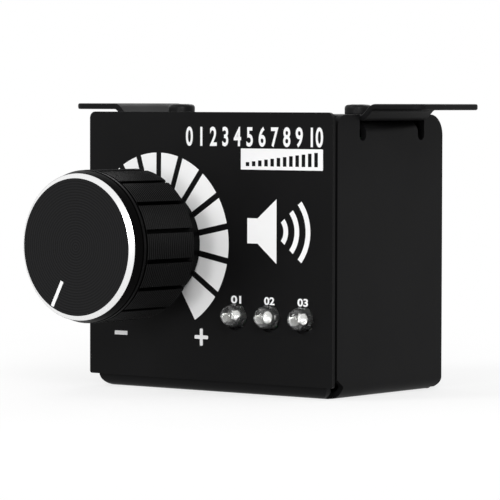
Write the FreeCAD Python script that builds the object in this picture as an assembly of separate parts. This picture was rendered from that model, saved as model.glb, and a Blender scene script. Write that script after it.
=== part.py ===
import FreeCAD, Part
import math
import os

# Level remote control knob: a folded sheet-metal box that hangs under a dashboard by two ears,
# with a turning knob, a dial panel, three indicator lamps and a modular socket at the back.
# Millimetres. X runs to the right as the panel is read, Y runs back from the panel, Z runs up.
# The origin is midway between the two mounting holes, on the upper faces of the ears.

# Sheet-metal box
SHEET = 0.8
BEND_RADIUS = 0.8
BOX_WIDTH = 39.8
BOX_DEPTH = 25.0
BOX_HEIGHT = 36.8
WALL_SETBACK = 1.3
WALL_FRONT_CORNER = 1.6
WALL_BACK_CORNER = 2.8
WALL_FOOT_CORNER = 1.5
REAR_WALL_GAP = 0.4
REAR_WALL_CORNER = 1.5
FRONT_WALL_CORNER = 1.75
FRONT_WALL_INSET = 0.65
NOTCH_HEIGHT = 2.6
NOTCH_TIP_HEIGHT = 1.6
NOTCH_DEPTH = 1.4
NOTCH_TIP_ROUND = 0.2
NOTCH_FOOT = 0.5

# Inward tabs of the side walls, with a relief slot on each side
TAB_WIDTH = 11.7
TAB_REACH = 8.0
SLOT_WIDTH = 1.45
SLOT_DEPTH = 3.4

# Cover with two stepped ears
COVER_GAP = 0.15
EAR_SETBACK = 13.4
EAR_WIDTH = 14.2
EAR_REACH = 9.4
EAR_RISE = 1.4
EAR_STEP_RUN = 1.4
EAR_NECK = 0.3
EAR_CORNER = 1.5
EAR_HOLE = 3.6
EAR_HOLE_EDGE = 3.9

# Cover screws
SCREW_THREAD = 2.2
SCREW_HEAD = 3.6
SCREW_HEAD_HEIGHT = 1.35
SCREW_LENGTH = 5.0
SCREW_INSET = 4.9
SCREW_AHEAD = 0.9
SCREW_CLEARANCE = 0.2
SCREW_PILOT_CLEARANCE = 0.03

# Dial panel
PANEL_THICKNESS = 0.5
PANEL_HEIGHT = 35.5
PANEL_SIDE_LAP = 0.6
PANEL_TOP_LAP = 0.3
PANEL_TOP_CORNER = 0.9

# Knob axis, from the middle of the box and from its upper edge
KNOB_OFFSET = 8.1
KNOB_DROP = 17.2

# Knob shell, turned from aluminium, with lengths ahead of the panel's face
KNOB_REACH = 17.3
FACE_RADIUS = 8.94
BEVEL_RADIUS = 9.545
BEVEL_DEPTH = 0.5
GRIP_RADIUS = 10.0
GRIP_FRONT = 14.9
GRIP_BACK = 5.0
GRIP_BACK_BEVEL = 0.6
NECK_GROOVE_WIDTH = 0.3
NECK_GROOVE_DEPTH = 0.3
GRIP_SLOTS = 16
GRIP_SLOT_TURN = 5.0
GRIP_SLOT_WIDTH = 0.6
GRIP_SLOT_DEPTH = 0.45
FACE_THICKNESS = 1.6

# Pointer line, inlaid in the knob's face
POINTER_WIDTH = 0.55
POINTER_DEPTH = 0.25
POINTER_INNER = 5.1
POINTER_OUTER = 8.82

# Moulded core of the knob
CORE_RADIUS = 7.45
CORE_WALL = 1.05
CORE_BACK = 0.86
CORE_FIT = 0.02
CORE_WEB = 1.5
CORE_BOSS_RADIUS = 4.4
CORE_BOSS_BACK = 5.2
CORE_RIBS = 6
CORE_RIB_THICKNESS = 0.9

# Potentiometer shaft and bushing
SHAFT_RADIUS = 3.0
SHAFT_REACH = 13.2
SHAFT_CLEARANCE = 0.03
SPLINES = 18
SPLINE_DEPTH = 0.25
SPLINE_RUNOUT = 0.4
SPLIT_WIDTH = 1.0
SPLIT_DEPTH = 5.0
BUSHING_RADIUS = 3.5
BUSHING_LENGTH = 5.5
BUSHING_HOLE_CLEARANCE = 0.1
LUG_OFFSET = 7.0
LUG_WIDTH = 1.2
LUG_LENGTH = 2.8
LUG_SHORT = 0.1
LUG_CLEARANCE = 0.1

# Nut and washer that clamp the panel, the box and the potentiometer
NUT_ACROSS_FLATS = 10.0
NUT_THICKNESS = 2.0
NUT_CLEARANCE = 0.03
WASHER_RADIUS = 5.8
WASHER_THICKNESS = 0.5

# Potentiometer housing
POT_RADIUS = 8.0
FLANGE_THICKNESS = 1.2
CAN_SHEET = 0.35
CAN_CLEARANCE = 0.05
HOUSING_WALL = 1.0
HOUSING_DEPTH = 4.1
WAFER_THICKNESS = 1.0
WAFER_TAIL = 9.6
WAFER_TAIL_WIDTH = 13.0
CAN_BACK_GAP = 0.45

# Rotor, wiper and end stop
ROTOR_RADIUS = 5.2
ROTOR_THICKNESS = 2.4
ROTOR_FRONT_GAP = 0.7
ROTOR_FIT = 0.02
SPINDLE_RADIUS = 2.0
SPINDLE_TAIL = 0.4
TRAVEL = 305.0
STOP_PLAY = 3.0
STOP_INNER = 5.6
ROTOR_LUG_HALF_ANGLE = 10.0
ROTOR_LUG_GAP = 0.35
WIPER_SHEET = 0.2
WIPER_INNER = 2.6
WIPER_OUTER = 4.4
WIPER_ARM_WIDTH = 0.8
WIPER_GAP = 0.1

# Terminals
TERMINALS = 3
TERMINAL_PITCH = 5.0
TERMINAL_WIDTH = 1.0
TERMINAL_SHEET = 0.3
TERMINAL_TOP = 6.2
TERMINAL_FOOT = 10.7
TERMINAL_TAIL = 0.8
TERMINAL_HOLE_CLEARANCE = 0.1

# Indicator lamps
LAMPS = 3
LAMP_PITCH = 5.5
LAMP_INSET = 4.2
LAMP_DROP = 9.2
LAMP_RADIUS = 1.5
LAMP_LENGTH = 5.3
LAMP_PROUD = 2.35
DOME_STEPS = 4
LAMP_RIM_RADIUS = 1.9
LAMP_RIM_THICKNESS = 1.0
LAMP_HOLE_CLEARANCE = 0.2
LEAD_PITCH = 2.54
LEAD_WIDTH = 0.5
LEAD_TAIL = 0.8
LEAD_CLEARANCE = 0.05
ANVIL_DEPTH = 2.0
ANVIL_WIDTH = 1.0
ANVIL_THICKNESS = 0.5
ANVIL_GAP = 0.3
POST_WIDTH = 0.5
POST_DEPTH = 2.3

# Circuit board
BOARD_THICKNESS = 1.6
BOARD_HEAD_GAP = 3.0
BOARD_SIDE_GAP = 0.6
BOARD_FOOT_GAP = 1.0
BOARD_GAP = 0.7
RESISTOR_LENGTH = 3.2
RESISTOR_WIDTH = 1.6
RESISTOR_HEIGHT = 0.6
RESISTOR_RISE = 5.0

# Modular socket
JACK_OFFSET = 8.0
JACK_RISE = 2.0
JACK_WIDTH = 12.4
JACK_HEIGHT = 13.2
JACK_RECESS = 0.3
JACK_HOLE_CLEARANCE = 0.2
SOCKET_WIDTH = 9.85
SOCKET_HEIGHT = 6.9
SOCKET_DEPTH = 12.0
SOCKET_FLOOR = 3.6
KEYWAY_WIDTH = 3.4
KEYWAY_DEPTH = 1.7
CONTACTS = 4
CONTACT_PITCH = 1.27
CONTACT_THICKNESS = 0.35
CONTACT_WIDTH = 0.45
CONTACT_CHANNEL = 0.6
CONTACT_CLEARANCE = 0.1
CONTACT_MOUTH_GAP = 2.2
CONTACT_FOLD_RADIUS = 0.45
CONTACT_FOLD = 170.0
CONTACT_FOLD_STEPS = 3
CONTACT_ARM = 6.0

TOUCH = 1e-6
CUT = 1.0

# Places worked out from the sizes above
TOP = -EAR_RISE
FLOOR = TOP - BOX_HEIGHT
FRONT = -EAR_SETBACK
BACK = FRONT + BOX_DEPTH
HALF_WIDTH = BOX_WIDTH / 2
PANEL_FACE = FRONT - PANEL_THICKNESS
BEND_OUTER = BEND_RADIUS + SHEET
KNOB_X = -KNOB_OFFSET
KNOB_Z = TOP - KNOB_DROP
SCREW_X = HALF_WIDTH - SCREW_INSET
EAR_HOLE_X = HALF_WIDTH + EAR_REACH - EAR_HOLE_EDGE
FLANGE_FRONT = FRONT + SHEET
FLANGE_BACK = FLANGE_FRONT + FLANGE_THICKNESS
HOUSING_BACK = FLANGE_BACK + HOUSING_DEPTH
WAFER_BACK = HOUSING_BACK + WAFER_THICKNESS
CAN_BACK = WAFER_BACK + CAN_BACK_GAP + CAN_SHEET
BOARD_FRONT = CAN_BACK + BOARD_GAP
BOARD_BACK = BOARD_FRONT + BOARD_THICKNESS
LAMP_TIP = PANEL_FACE - LAMP_PROUD
LAMP_BACK = LAMP_TIP + LAMP_LENGTH
LAMP_Z = KNOB_Z - LAMP_DROP
LAMP_XS = [HALF_WIDTH - LAMP_INSET - (LAMPS - 1 - index) * LAMP_PITCH for index in range(LAMPS)]
JACK_Z = KNOB_Z + JACK_RISE
JACK_MOUTH = BACK - JACK_RECESS
SOCKET_BOTTOM = JACK_Z - JACK_HEIGHT / 2 + SOCKET_FLOOR
SOCKET_TOP = SOCKET_BOTTOM + SOCKET_HEIGHT
CONTACT_Z = SOCKET_TOP + CONTACT_CHANNEL / 2
ROTOR_FRONT = FLANGE_BACK + ROTOR_FRONT_GAP
ROTOR_BACK = ROTOR_FRONT + ROTOR_THICKNESS
BORE_RADIUS = POT_RADIUS - CAN_SHEET - CAN_CLEARANCE - HOUSING_WALL
DEAD_ANGLE = 360.0 - TRAVEL
POINTER_REST = 180.0 + DEAD_ANGLE / 2
STOP_HALF_ANGLE = DEAD_ANGLE / 2 - ROTOR_LUG_HALF_ANGLE - STOP_PLAY


def vec(x, y, z):
    return FreeCAD.Vector(x, y, z)


def unit(vector):
    return vector * (1.0 / vector.Length)


def box(x0, x1, y0, y1, z0, z1):
    """Block between two opposite corners."""
    return Part.makeBox(x1 - x0, y1 - y0, z1 - z0, vec(x0, y0, z0))


def rod(radius, y0, y1, x=KNOB_X, z=KNOB_Z):
    """Round bar that runs front to back, on the knob's axis unless told otherwise."""
    return Part.makeCylinder(radius, y1 - y0, vec(x, y0, z), vec(0, 1, 0))


def tube(outer, inner, y0, y1, x=KNOB_X, z=KNOB_Z):
    """Round bar with a hole right through it."""
    return rod(outer, y0, y1, x, z).cut(rod(inner, y0 - CUT, y1 + CUT, x, z))


def clockwise(shape, angle):
    """Shape turned about the knob's axis, clockwise as the panel is read."""
    turned = shape.copy()
    turned.rotate(vec(KNOB_X, 0, KNOB_Z), vec(0, 1, 0), angle)
    return turned


def round_corner(before, corner, after, radius):
    """Start, middle and end of the arc that rounds one corner."""
    back = unit(before - corner)
    ahead = unit(after - corner)
    half = math.acos(max(-1.0, min(1.0, back.dot(ahead)))) / 2
    run = radius / math.tan(half)
    inward = unit(back + ahead)
    middle = corner + inward * (radius / math.sin(half) - radius)
    return corner + back * run, middle, corner + ahead * run


def rounded_face(corners):
    """Flat face from its corners in order, each given as (point, rounding radius)."""
    stops = []
    for index, (corner, radius) in enumerate(corners):
        before = corners[index - 1][0]
        after = corners[(index + 1) % len(corners)][0]
        if radius > 0:
            stops.append(round_corner(before, corner, after, radius))
        else:
            stops.append((corner, None, corner))
    edges = []
    for index, (start, middle, end) in enumerate(stops):
        if middle is not None:
            edges.append(Part.Arc(start, middle, end).toShape())
        following = stops[(index + 1) % len(stops)][0]
        if end.distanceToPoint(following) > TOUCH:
            edges.append(Part.makeLine(end, following))
    return Part.Face(Part.Wire(edges))


def folded_sheet(path, along):
    """Sheet folded over a path of straight runs through its middle, as deep as along is long."""
    normal = unit(along)
    left = []
    right = []
    for index, point in enumerate(path):
        first = index == 0
        last = index == len(path) - 1
        ahead = unit(path[index] - path[index - 1]) if last else unit(path[index + 1] - point)
        behind = ahead if first else unit(point - path[index - 1])
        offset = (normal.cross(behind) + normal.cross(ahead)) * (SHEET / 2 / (1 + behind.dot(ahead)))
        turn = normal.dot(behind.cross(ahead))
        inner = 0.0 if first or last else BEND_RADIUS
        outer = 0.0 if first or last else BEND_OUTER
        left.append((point + offset, inner if turn > 0 else outer))
        right.append((point - offset, outer if turn > 0 else inner))
    return rounded_face(left + right[::-1]).extrude(along)


def turned_solid(profile, x=KNOB_X, z=KNOB_Z):
    """Solid of revolution about a front-to-back axis from (radius, place, rounding) corners."""
    corners = [(vec(radius, place, 0), rounding) for radius, place, rounding in profile]
    solid = rounded_face(corners).revolve(vec(0, 0, 0), vec(0, 1, 0), 360)
    solid.translate(vec(x, 0, z))
    return solid


def pin_hole(x, z, width, height, y0, y1):
    """Tool for the slot that a flat pin or a lead passes through."""
    return box(x - width / 2, x + width / 2, y0, y1, z - height / 2, z + height / 2)


def side_silhouette():
    """Outline of the side walls, a block across the full width of the box."""
    start = FRONT + WALL_SETBACK
    corners = [
        (vec(-HALF_WIDTH - CUT, start, TOP), WALL_FRONT_CORNER),
        (vec(-HALF_WIDTH - CUT, BACK, TOP), WALL_BACK_CORNER),
        (vec(-HALF_WIDTH - CUT, BACK, FLOOR), WALL_FOOT_CORNER),
        (vec(-HALF_WIDTH - CUT, start, FLOOR), 0.0),
    ]
    return rounded_face(corners).extrude(vec(BOX_WIDTH + 2 * CUT, 0, 0))


def slot_tool(side, y):
    """Round-ended relief slot beside a tab, cut down from the top of a side wall."""
    x0 = side * HALF_WIDTH - CUT
    x1 = side * HALF_WIDTH + CUT
    radius = SLOT_WIDTH / 2
    bottom = TOP - SLOT_DEPTH + radius
    end = Part.makeCylinder(radius, 2 * CUT, vec(x0, y, bottom), vec(1, 0, 0))
    return box(x0, x1, y - radius, y + radius, bottom, TOP + CUT).fuse(end)


def notch_tool(side):
    """Corner relief where the side bend meets the front bend."""
    start = FRONT + WALL_SETBACK
    x0 = side * HALF_WIDTH - BEND_OUTER if side > 0 else -HALF_WIDTH - CUT
    corners = [
        (vec(x0, start, FLOOR + NOTCH_HEIGHT), 0.0),
        (vec(x0, start + NOTCH_DEPTH, FLOOR + NOTCH_TIP_HEIGHT), NOTCH_TIP_ROUND),
        (vec(x0, start + NOTCH_FOOT, FLOOR - CUT), 0.0),
        (vec(x0, start - CUT / 4, FLOOR - CUT), 0.0),
        (vec(x0, start - CUT / 4, FLOOR + NOTCH_HEIGHT), 0.0),
    ]
    return rounded_face(corners).extrude(vec(BEND_OUTER + CUT, 0, 0))


def inward_tab(side):
    """Top of a side wall folded inward to carry the cover, with its screw hole."""
    middle_x = side * (HALF_WIDTH - SHEET / 2)
    middle_z = TOP - SHEET * 1.5
    path = [
        vec(middle_x, -TAB_WIDTH / 2, TOP - SLOT_DEPTH - SHEET),
        vec(middle_x, -TAB_WIDTH / 2, middle_z),
        vec(side * (HALF_WIDTH - TAB_REACH), -TAB_WIDTH / 2, middle_z),
    ]
    tab = folded_sheet(path, vec(0, TAB_WIDTH, 0))
    pilot = SCREW_THREAD / 2 + SCREW_PILOT_CLEARANCE
    hole = Part.makeCylinder(pilot, SCREW_LENGTH, vec(side * SCREW_X, -SCREW_AHEAD, TOP - SCREW_LENGTH))
    return tab.cut(hole)


def front_openings(y0, y1):
    """Tools for the holes that the panel and the front wall share, between two depths."""
    tools = [rod(BUSHING_RADIUS + BUSHING_HOLE_CLEARANCE, y0, y1)]
    for x in LAMP_XS:
        tools.append(rod(LAMP_RADIUS + LAMP_HOLE_CLEARANCE, y0, y1, x, LAMP_Z))
    return tools


def lug_block(y0, y1, spare):
    """Locating lug of the potentiometer, at nine o'clock beside the bushing."""
    x = KNOB_X - LUG_OFFSET
    half = LUG_WIDTH / 2 + spare
    reach = LUG_LENGTH / 2 + spare
    return box(x - half, x + half, y0, y1, KNOB_Z - reach, KNOB_Z + reach)


def make_base_tray():
    """Folded tray: floor, front wall, rear wall, and side walls with inward tabs."""
    middle = HALF_WIDTH - SHEET / 2
    floor_middle = FLOOR + SHEET / 2
    wall_start = FRONT + WALL_SETBACK
    start = FRONT + BEND_OUTER
    rear_start = BACK - BEND_OUTER
    across = [
        vec(-middle, wall_start, TOP),
        vec(-middle, wall_start, floor_middle),
        vec(middle, wall_start, floor_middle),
        vec(middle, wall_start, TOP),
    ]
    sides = folded_sheet(across, vec(0, BACK - wall_start, 0)).common(side_silhouette())
    sides = sides.cut(box(-HALF_WIDTH, HALF_WIDTH, wall_start - CUT, start, FLOOR - CUT, FLOOR + SHEET))
    inside = HALF_WIDTH - SHEET
    sides = sides.cut(box(-inside, inside, rear_start, BACK + CUT, FLOOR - CUT, TOP + CUT))

    front_half = HALF_WIDTH - FRONT_WALL_INSET
    front_path = [
        vec(-front_half, start, floor_middle),
        vec(-front_half, FRONT + SHEET / 2, floor_middle),
        vec(-front_half, FRONT + SHEET / 2, TOP),
    ]
    front = folded_sheet(front_path, vec(2 * front_half, 0, 0))
    front_outline = [
        (vec(-front_half, FRONT - CUT, FLOOR), FRONT_WALL_CORNER),
        (vec(front_half, FRONT - CUT, FLOOR), FRONT_WALL_CORNER),
        (vec(front_half, FRONT - CUT, TOP), 0.0),
        (vec(-front_half, FRONT - CUT, TOP), 0.0),
    ]
    front = front.common(rounded_face(front_outline).extrude(vec(0, BEND_OUTER + 2 * CUT, 0)))
    rear_half = inside - REAR_WALL_GAP
    rear_path = [
        vec(-rear_half, rear_start, floor_middle),
        vec(-rear_half, BACK - SHEET / 2, floor_middle),
        vec(-rear_half, BACK - SHEET / 2, TOP),
    ]
    rear = folded_sheet(rear_path, vec(2 * rear_half, 0, 0))
    rear_outline = [
        (vec(-rear_half, rear_start - CUT, FLOOR), 0.0),
        (vec(rear_half, rear_start - CUT, FLOOR), 0.0),
        (vec(rear_half, rear_start - CUT, TOP), REAR_WALL_CORNER),
        (vec(-rear_half, rear_start - CUT, TOP), REAR_WALL_CORNER),
    ]
    rear = rear.common(rounded_face(rear_outline).extrude(vec(0, BEND_OUTER + 2 * CUT, 0)))
    tray = sides.fuse([front, rear])

    tools = [notch_tool(-1), notch_tool(1)]
    for side in (-1, 1):
        x = side * HALF_WIDTH
        half = TAB_WIDTH / 2
        tools.append(box(x - CUT, x + CUT, -half, half, TOP - SLOT_DEPTH, TOP + CUT))
        tools.append(slot_tool(side, -half - SLOT_WIDTH / 2))
        tools.append(slot_tool(side, half + SLOT_WIDTH / 2))
    tray = tray.cut(tools)
    tray = tray.fuse([inward_tab(-1), inward_tab(1)])

    holes = front_openings(FRONT - CUT, FLANGE_FRONT + CUT)
    holes.append(lug_block(FRONT - CUT, FLANGE_FRONT + CUT, LUG_CLEARANCE))
    half_w = JACK_WIDTH / 2 + JACK_HOLE_CLEARANCE
    half_h = JACK_HEIGHT / 2 + JACK_HOLE_CLEARANCE
    holes.append(box(JACK_OFFSET - half_w, JACK_OFFSET + half_w, BACK - SHEET - CUT, BACK + CUT,
                     JACK_Z - half_h, JACK_Z + half_h))
    return tray.cut(holes).removeSplitter()


def ear_path():
    """Middle of the sheet from ear tip to ear tip, with a step up outside each wall."""
    low = TOP - SHEET / 2
    high = low + EAR_RISE
    step = HALF_WIDTH + EAR_NECK
    tip = HALF_WIDTH + EAR_REACH
    y = -EAR_WIDTH / 2
    return [
        vec(-tip, y, high),
        vec(-step - EAR_STEP_RUN, y, high),
        vec(-step, y, low),
        vec(step, y, low),
        vec(step + EAR_STEP_RUN, y, high),
        vec(tip, y, high),
    ]


def make_top_cover():
    """Flat cover that lies on the tabs, with an ear through each side wall's opening."""
    tip = HALF_WIDTH + EAR_REACH
    ears = folded_sheet(ear_path(), vec(0, EAR_WIDTH, 0))
    below = TOP - 2 * SHEET
    outline = [
        (vec(-tip, -EAR_WIDTH / 2, below), EAR_CORNER),
        (vec(tip, -EAR_WIDTH / 2, below), EAR_CORNER),
        (vec(tip, EAR_WIDTH / 2, below), EAR_CORNER),
        (vec(-tip, EAR_WIDTH / 2, below), EAR_CORNER),
    ]
    ears = ears.common(rounded_face(outline).extrude(vec(0, 0, EAR_RISE + 4 * SHEET)))

    half = HALF_WIDTH - SHEET - COVER_GAP
    front = FRONT + SHEET + COVER_GAP
    back = BACK - SHEET - COVER_GAP
    plate = box(-half, half, front, back, TOP - SHEET, TOP)

    tools = []
    for side in (-1, 1):
        tools.append(Part.makeCylinder(EAR_HOLE / 2, SHEET + 2 * CUT,
                                       vec(side * EAR_HOLE_X, 0, -SHEET - CUT)))
        tools.append(Part.makeCylinder(SCREW_THREAD / 2 + SCREW_CLEARANCE, SHEET + 2 * CUT,
                                       vec(side * SCREW_X, -SCREW_AHEAD, TOP - SHEET - CUT)))
    return ears.fuse(plate).cut(tools).removeSplitter()


def cover_screw(side):
    """Pan-head screw that holds the cover to a tab."""
    profile = [
        (vec(0, 0, SCREW_HEAD_HEIGHT), 0.0),
        (vec(SCREW_HEAD / 2, 0, SCREW_HEAD_HEIGHT), 0.0),
        (vec(SCREW_HEAD / 2, 0, 0), 0.0),
        (vec(SCREW_THREAD / 2, 0, 0), 0.0),
        (vec(SCREW_THREAD / 2, 0, -SCREW_LENGTH), 0.0),
        (vec(0, 0, -SCREW_LENGTH), 0.0),
    ]
    screw = rounded_face(profile).revolve(vec(0, 0, 0), vec(0, 0, 1), 360)
    screw.translate(vec(side * SCREW_X, -SCREW_AHEAD, TOP))
    return screw


def make_cover_screws():
    return Part.makeCompound([cover_screw(-1), cover_screw(1)])


def make_front_panel():
    """Flat dial panel clamped to the front wall."""
    half = HALF_WIDTH + PANEL_SIDE_LAP
    top = TOP + PANEL_TOP_LAP
    foot = top - PANEL_HEIGHT
    outline = [
        (vec(-half, PANEL_FACE, foot), 0.0),
        (vec(half, PANEL_FACE, foot), 0.0),
        (vec(half, PANEL_FACE, top), PANEL_TOP_CORNER),
        (vec(-half, PANEL_FACE, top), PANEL_TOP_CORNER),
    ]
    plate = rounded_face(outline).extrude(vec(0, PANEL_THICKNESS, 0))
    return plate.cut(front_openings(PANEL_FACE - CUT, FRONT + CUT))


def pointer_block(y0, y1):
    """Straight bar along the pointer line, at its resting place on the knob's face."""
    half = POINTER_WIDTH / 2
    bar = box(KNOB_X - half, KNOB_X + half, y0, y1, KNOB_Z + POINTER_INNER, KNOB_Z + POINTER_OUTER)
    return clockwise(bar, POINTER_REST)


def make_knob_shell():
    """Turned cap with a bevelled face, a collar, a neck groove and a slotted grip."""
    face = PANEL_FACE - KNOB_REACH
    grip_front = PANEL_FACE - GRIP_FRONT
    groove_back = grip_front + NECK_GROOVE_WIDTH
    grip_back = PANEL_FACE - GRIP_BACK
    profile = [
        (0, face, 0),
        (FACE_RADIUS, face, 0),
        (BEVEL_RADIUS, face + BEVEL_DEPTH, 0),
        (GRIP_RADIUS, grip_front, 0),
        (GRIP_RADIUS - NECK_GROOVE_DEPTH, grip_front, 0),
        (GRIP_RADIUS - NECK_GROOVE_DEPTH, groove_back, 0),
        (GRIP_RADIUS, groove_back, 0),
        (GRIP_RADIUS, grip_back - GRIP_BACK_BEVEL, 0),
        (GRIP_RADIUS - GRIP_BACK_BEVEL, grip_back, 0),
        (CORE_RADIUS + CORE_FIT, grip_back, 0),
        (CORE_RADIUS + CORE_FIT, face + FACE_THICKNESS, 0),
        (0, face + FACE_THICKNESS, 0),
    ]
    shell = turned_solid(profile)
    slot_floor = KNOB_Z + GRIP_RADIUS - GRIP_SLOT_DEPTH
    slot = box(KNOB_X - GRIP_SLOT_WIDTH / 2, KNOB_X + GRIP_SLOT_WIDTH / 2, groove_back,
               grip_back + CUT, slot_floor, slot_floor + GRIP_SLOT_DEPTH + CUT)
    step = 360.0 / GRIP_SLOTS
    first = POINTER_REST + GRIP_SLOT_TURN
    tools = [clockwise(slot, first + index * step) for index in range(GRIP_SLOTS)]
    tools.append(pointer_block(face - CUT, face + POINTER_DEPTH))
    return shell.cut(tools)


def make_knob_pointer():
    """White line that fills the groove in the knob's face."""
    face = PANEL_FACE - KNOB_REACH
    return pointer_block(face, face + POINTER_DEPTH)


def spline_prism(spare, y0, y1):
    """Toothed bar for the shaft's splines, or with spare the hole that takes them."""
    corners = []
    for index in range(2 * SPLINES):
        radius = SHAFT_RADIUS + spare - (SPLINE_DEPTH if index % 2 else 0.0)
        angle = math.pi * index / SPLINES
        corners.append((vec(KNOB_X + radius * math.sin(angle), y0, KNOB_Z + radius * math.cos(angle)), 0))
    return rounded_face(corners).extrude(vec(0, y1 - y0, 0))


def make_knob_core():
    """Moulded insert with a splined boss, ribs and the hub behind the grip."""
    front = PANEL_FACE - KNOB_REACH + FACE_THICKNESS
    back = PANEL_FACE - CORE_BACK
    boss_back = PANEL_FACE - CORE_BOSS_BACK
    inner = CORE_RADIUS - CORE_WALL
    profile = [
        (0, front, 0),
        (CORE_RADIUS, front, 0),
        (CORE_RADIUS, back, 0),
        (inner, back, 0),
        (inner, front + CORE_WEB, 0),
        (CORE_BOSS_RADIUS, front + CORE_WEB, 0),
        (CORE_BOSS_RADIUS, boss_back, 0),
        (0, boss_back, 0),
    ]
    core = turned_solid(profile)
    half = CORE_RIB_THICKNESS / 2
    rib = box(KNOB_X - half, KNOB_X + half, front + CORE_WEB - CORE_FIT, boss_back,
              KNOB_Z + CORE_BOSS_RADIUS - CORE_WALL / 2, KNOB_Z + inner + CORE_WALL / 2)
    core = core.fuse([clockwise(rib, index * 360.0 / CORE_RIBS) for index in range(CORE_RIBS)])
    bore_front = PANEL_FACE - SHAFT_REACH - SHAFT_CLEARANCE
    return core.cut(spline_prism(SHAFT_CLEARANCE, bore_front, boss_back + CUT)).removeSplitter()


def make_pot_shaft():
    """Shaft with a splined, split end in front and a slim spindle behind for the rotor."""
    tip = PANEL_FACE - SHAFT_REACH
    spline_back = PANEL_FACE - CORE_BOSS_BACK + SPLINE_RUNOUT
    neck = ROTOR_FRONT
    spindle_end = ROTOR_BACK + SPINDLE_TAIL
    smooth = rod(SHAFT_RADIUS, spline_back, neck)
    shaft = spline_prism(0.0, tip, spline_back).fuse([smooth, rod(SPINDLE_RADIUS, neck, spindle_end)])
    half = SPLIT_WIDTH / 2
    split = box(KNOB_X - half, KNOB_X + half, tip - CUT, tip + SPLIT_DEPTH,
                KNOB_Z - 2 * SHAFT_RADIUS, KNOB_Z + 2 * SHAFT_RADIUS)
    return shaft.cut(split).removeSplitter()


def make_pot_bushing():
    """Die-cast bushing with its mounting flange and locating lug."""
    front = FLANGE_FRONT - BUSHING_LENGTH
    body = rod(BUSHING_RADIUS, front, FLANGE_BACK).fuse(rod(POT_RADIUS, FLANGE_FRONT, FLANGE_BACK))
    body = body.fuse(lug_block(FRONT + LUG_SHORT, FLANGE_BACK, 0.0).common(
        rod(POT_RADIUS, FRONT, FLANGE_BACK)))
    return body.cut(rod(SHAFT_RADIUS + SHAFT_CLEARANCE, front - CUT, FLANGE_BACK + CUT)).removeSplitter()


def make_pot_nut():
    """Hexagon nut on the bushing."""
    back = PANEL_FACE - WASHER_THICKNESS
    front = back - NUT_THICKNESS
    corner_radius = NUT_ACROSS_FLATS / math.sqrt(3)
    corners = []
    for index in range(6):
        angle = math.radians(60 * index)
        corners.append((vec(KNOB_X + corner_radius * math.sin(angle), front,
                            KNOB_Z + corner_radius * math.cos(angle)), 0.0))
    nut = rounded_face(corners).extrude(vec(0, NUT_THICKNESS, 0))
    return nut.cut(rod(BUSHING_RADIUS + NUT_CLEARANCE, front - CUT, back + CUT))


def make_pot_washer():
    """Flat washer under the nut."""
    return tube(WASHER_RADIUS, BUSHING_RADIUS + BUSHING_HOLE_CLEARANCE,
                PANEL_FACE - WASHER_THICKNESS, PANEL_FACE)


def ring_sector(outer, inner, half_angle, y0, y1):
    """Sector of a ring centred at twelve o'clock on the knob's axis."""
    reach = 2 * outer
    spread = reach * math.tan(math.radians(half_angle))
    wedge = [
        (vec(KNOB_X, y0, KNOB_Z), 0.0),
        (vec(KNOB_X + spread, y0, KNOB_Z + reach), 0.0),
        (vec(KNOB_X - spread, y0, KNOB_Z + reach), 0.0),
    ]
    sector = rounded_face(wedge).extrude(vec(0, y1 - y0, 0))
    return sector.common(tube(outer, inner, y0, y1))


def make_pot_housing():
    """Moulded ring of the potentiometer with the end stop inside it, at six o'clock."""
    outer = BORE_RADIUS + HOUSING_WALL
    ring = tube(outer, BORE_RADIUS, FLANGE_BACK, HOUSING_BACK)
    stop = ring_sector(outer - HOUSING_WALL / 2, STOP_INNER, STOP_HALF_ANGLE, FLANGE_BACK, HOUSING_BACK)
    return ring.fuse(clockwise(stop, 180)).removeSplitter()


def make_pot_wafer():
    """Resistance wafer that closes the housing, with a tail that carries the terminals."""
    outer = BORE_RADIUS + HOUSING_WALL
    disc = rod(outer, HOUSING_BACK, WAFER_BACK)
    half = WAFER_TAIL_WIDTH / 2
    tail = box(KNOB_X - half, KNOB_X + half, HOUSING_BACK, WAFER_BACK, KNOB_Z - WAFER_TAIL, KNOB_Z)
    return disc.fuse(tail).removeSplitter()


def make_pot_can():
    """Metal can round the housing, open below where the wafer's tail comes out."""
    inner = POT_RADIUS - CAN_SHEET
    can = rod(POT_RADIUS, FLANGE_BACK, CAN_BACK).cut(rod(inner, FLANGE_BACK - CUT, CAN_BACK - CAN_SHEET))
    half = WAFER_TAIL_WIDTH / 2 + CAN_CLEARANCE
    shoulder = math.sqrt(max(inner ** 2 - half ** 2, 0.0)) - CAN_CLEARANCE
    mouth = box(KNOB_X - half, KNOB_X + half, HOUSING_BACK - CAN_CLEARANCE, CAN_BACK + CUT,
                KNOB_Z - 2 * POT_RADIUS, KNOB_Z - shoulder)
    return can.cut(mouth)


def make_pot_terminal(index):
    """Terminal riveted to the wafer's tail and bent back through the circuit board."""
    x = terminal_x(index)
    half = TERMINAL_WIDTH / 2
    blade = box(x - half, x + half, WAFER_BACK, WAFER_BACK + TERMINAL_SHEET,
                KNOB_Z - TERMINAL_FOOT, KNOB_Z - TERMINAL_TOP)
    leg = box(x - half, x + half, WAFER_BACK, BOARD_BACK + TERMINAL_TAIL,
              KNOB_Z - TERMINAL_FOOT, KNOB_Z - TERMINAL_FOOT + TERMINAL_SHEET)
    return blade.fuse(leg).removeSplitter()


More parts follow.
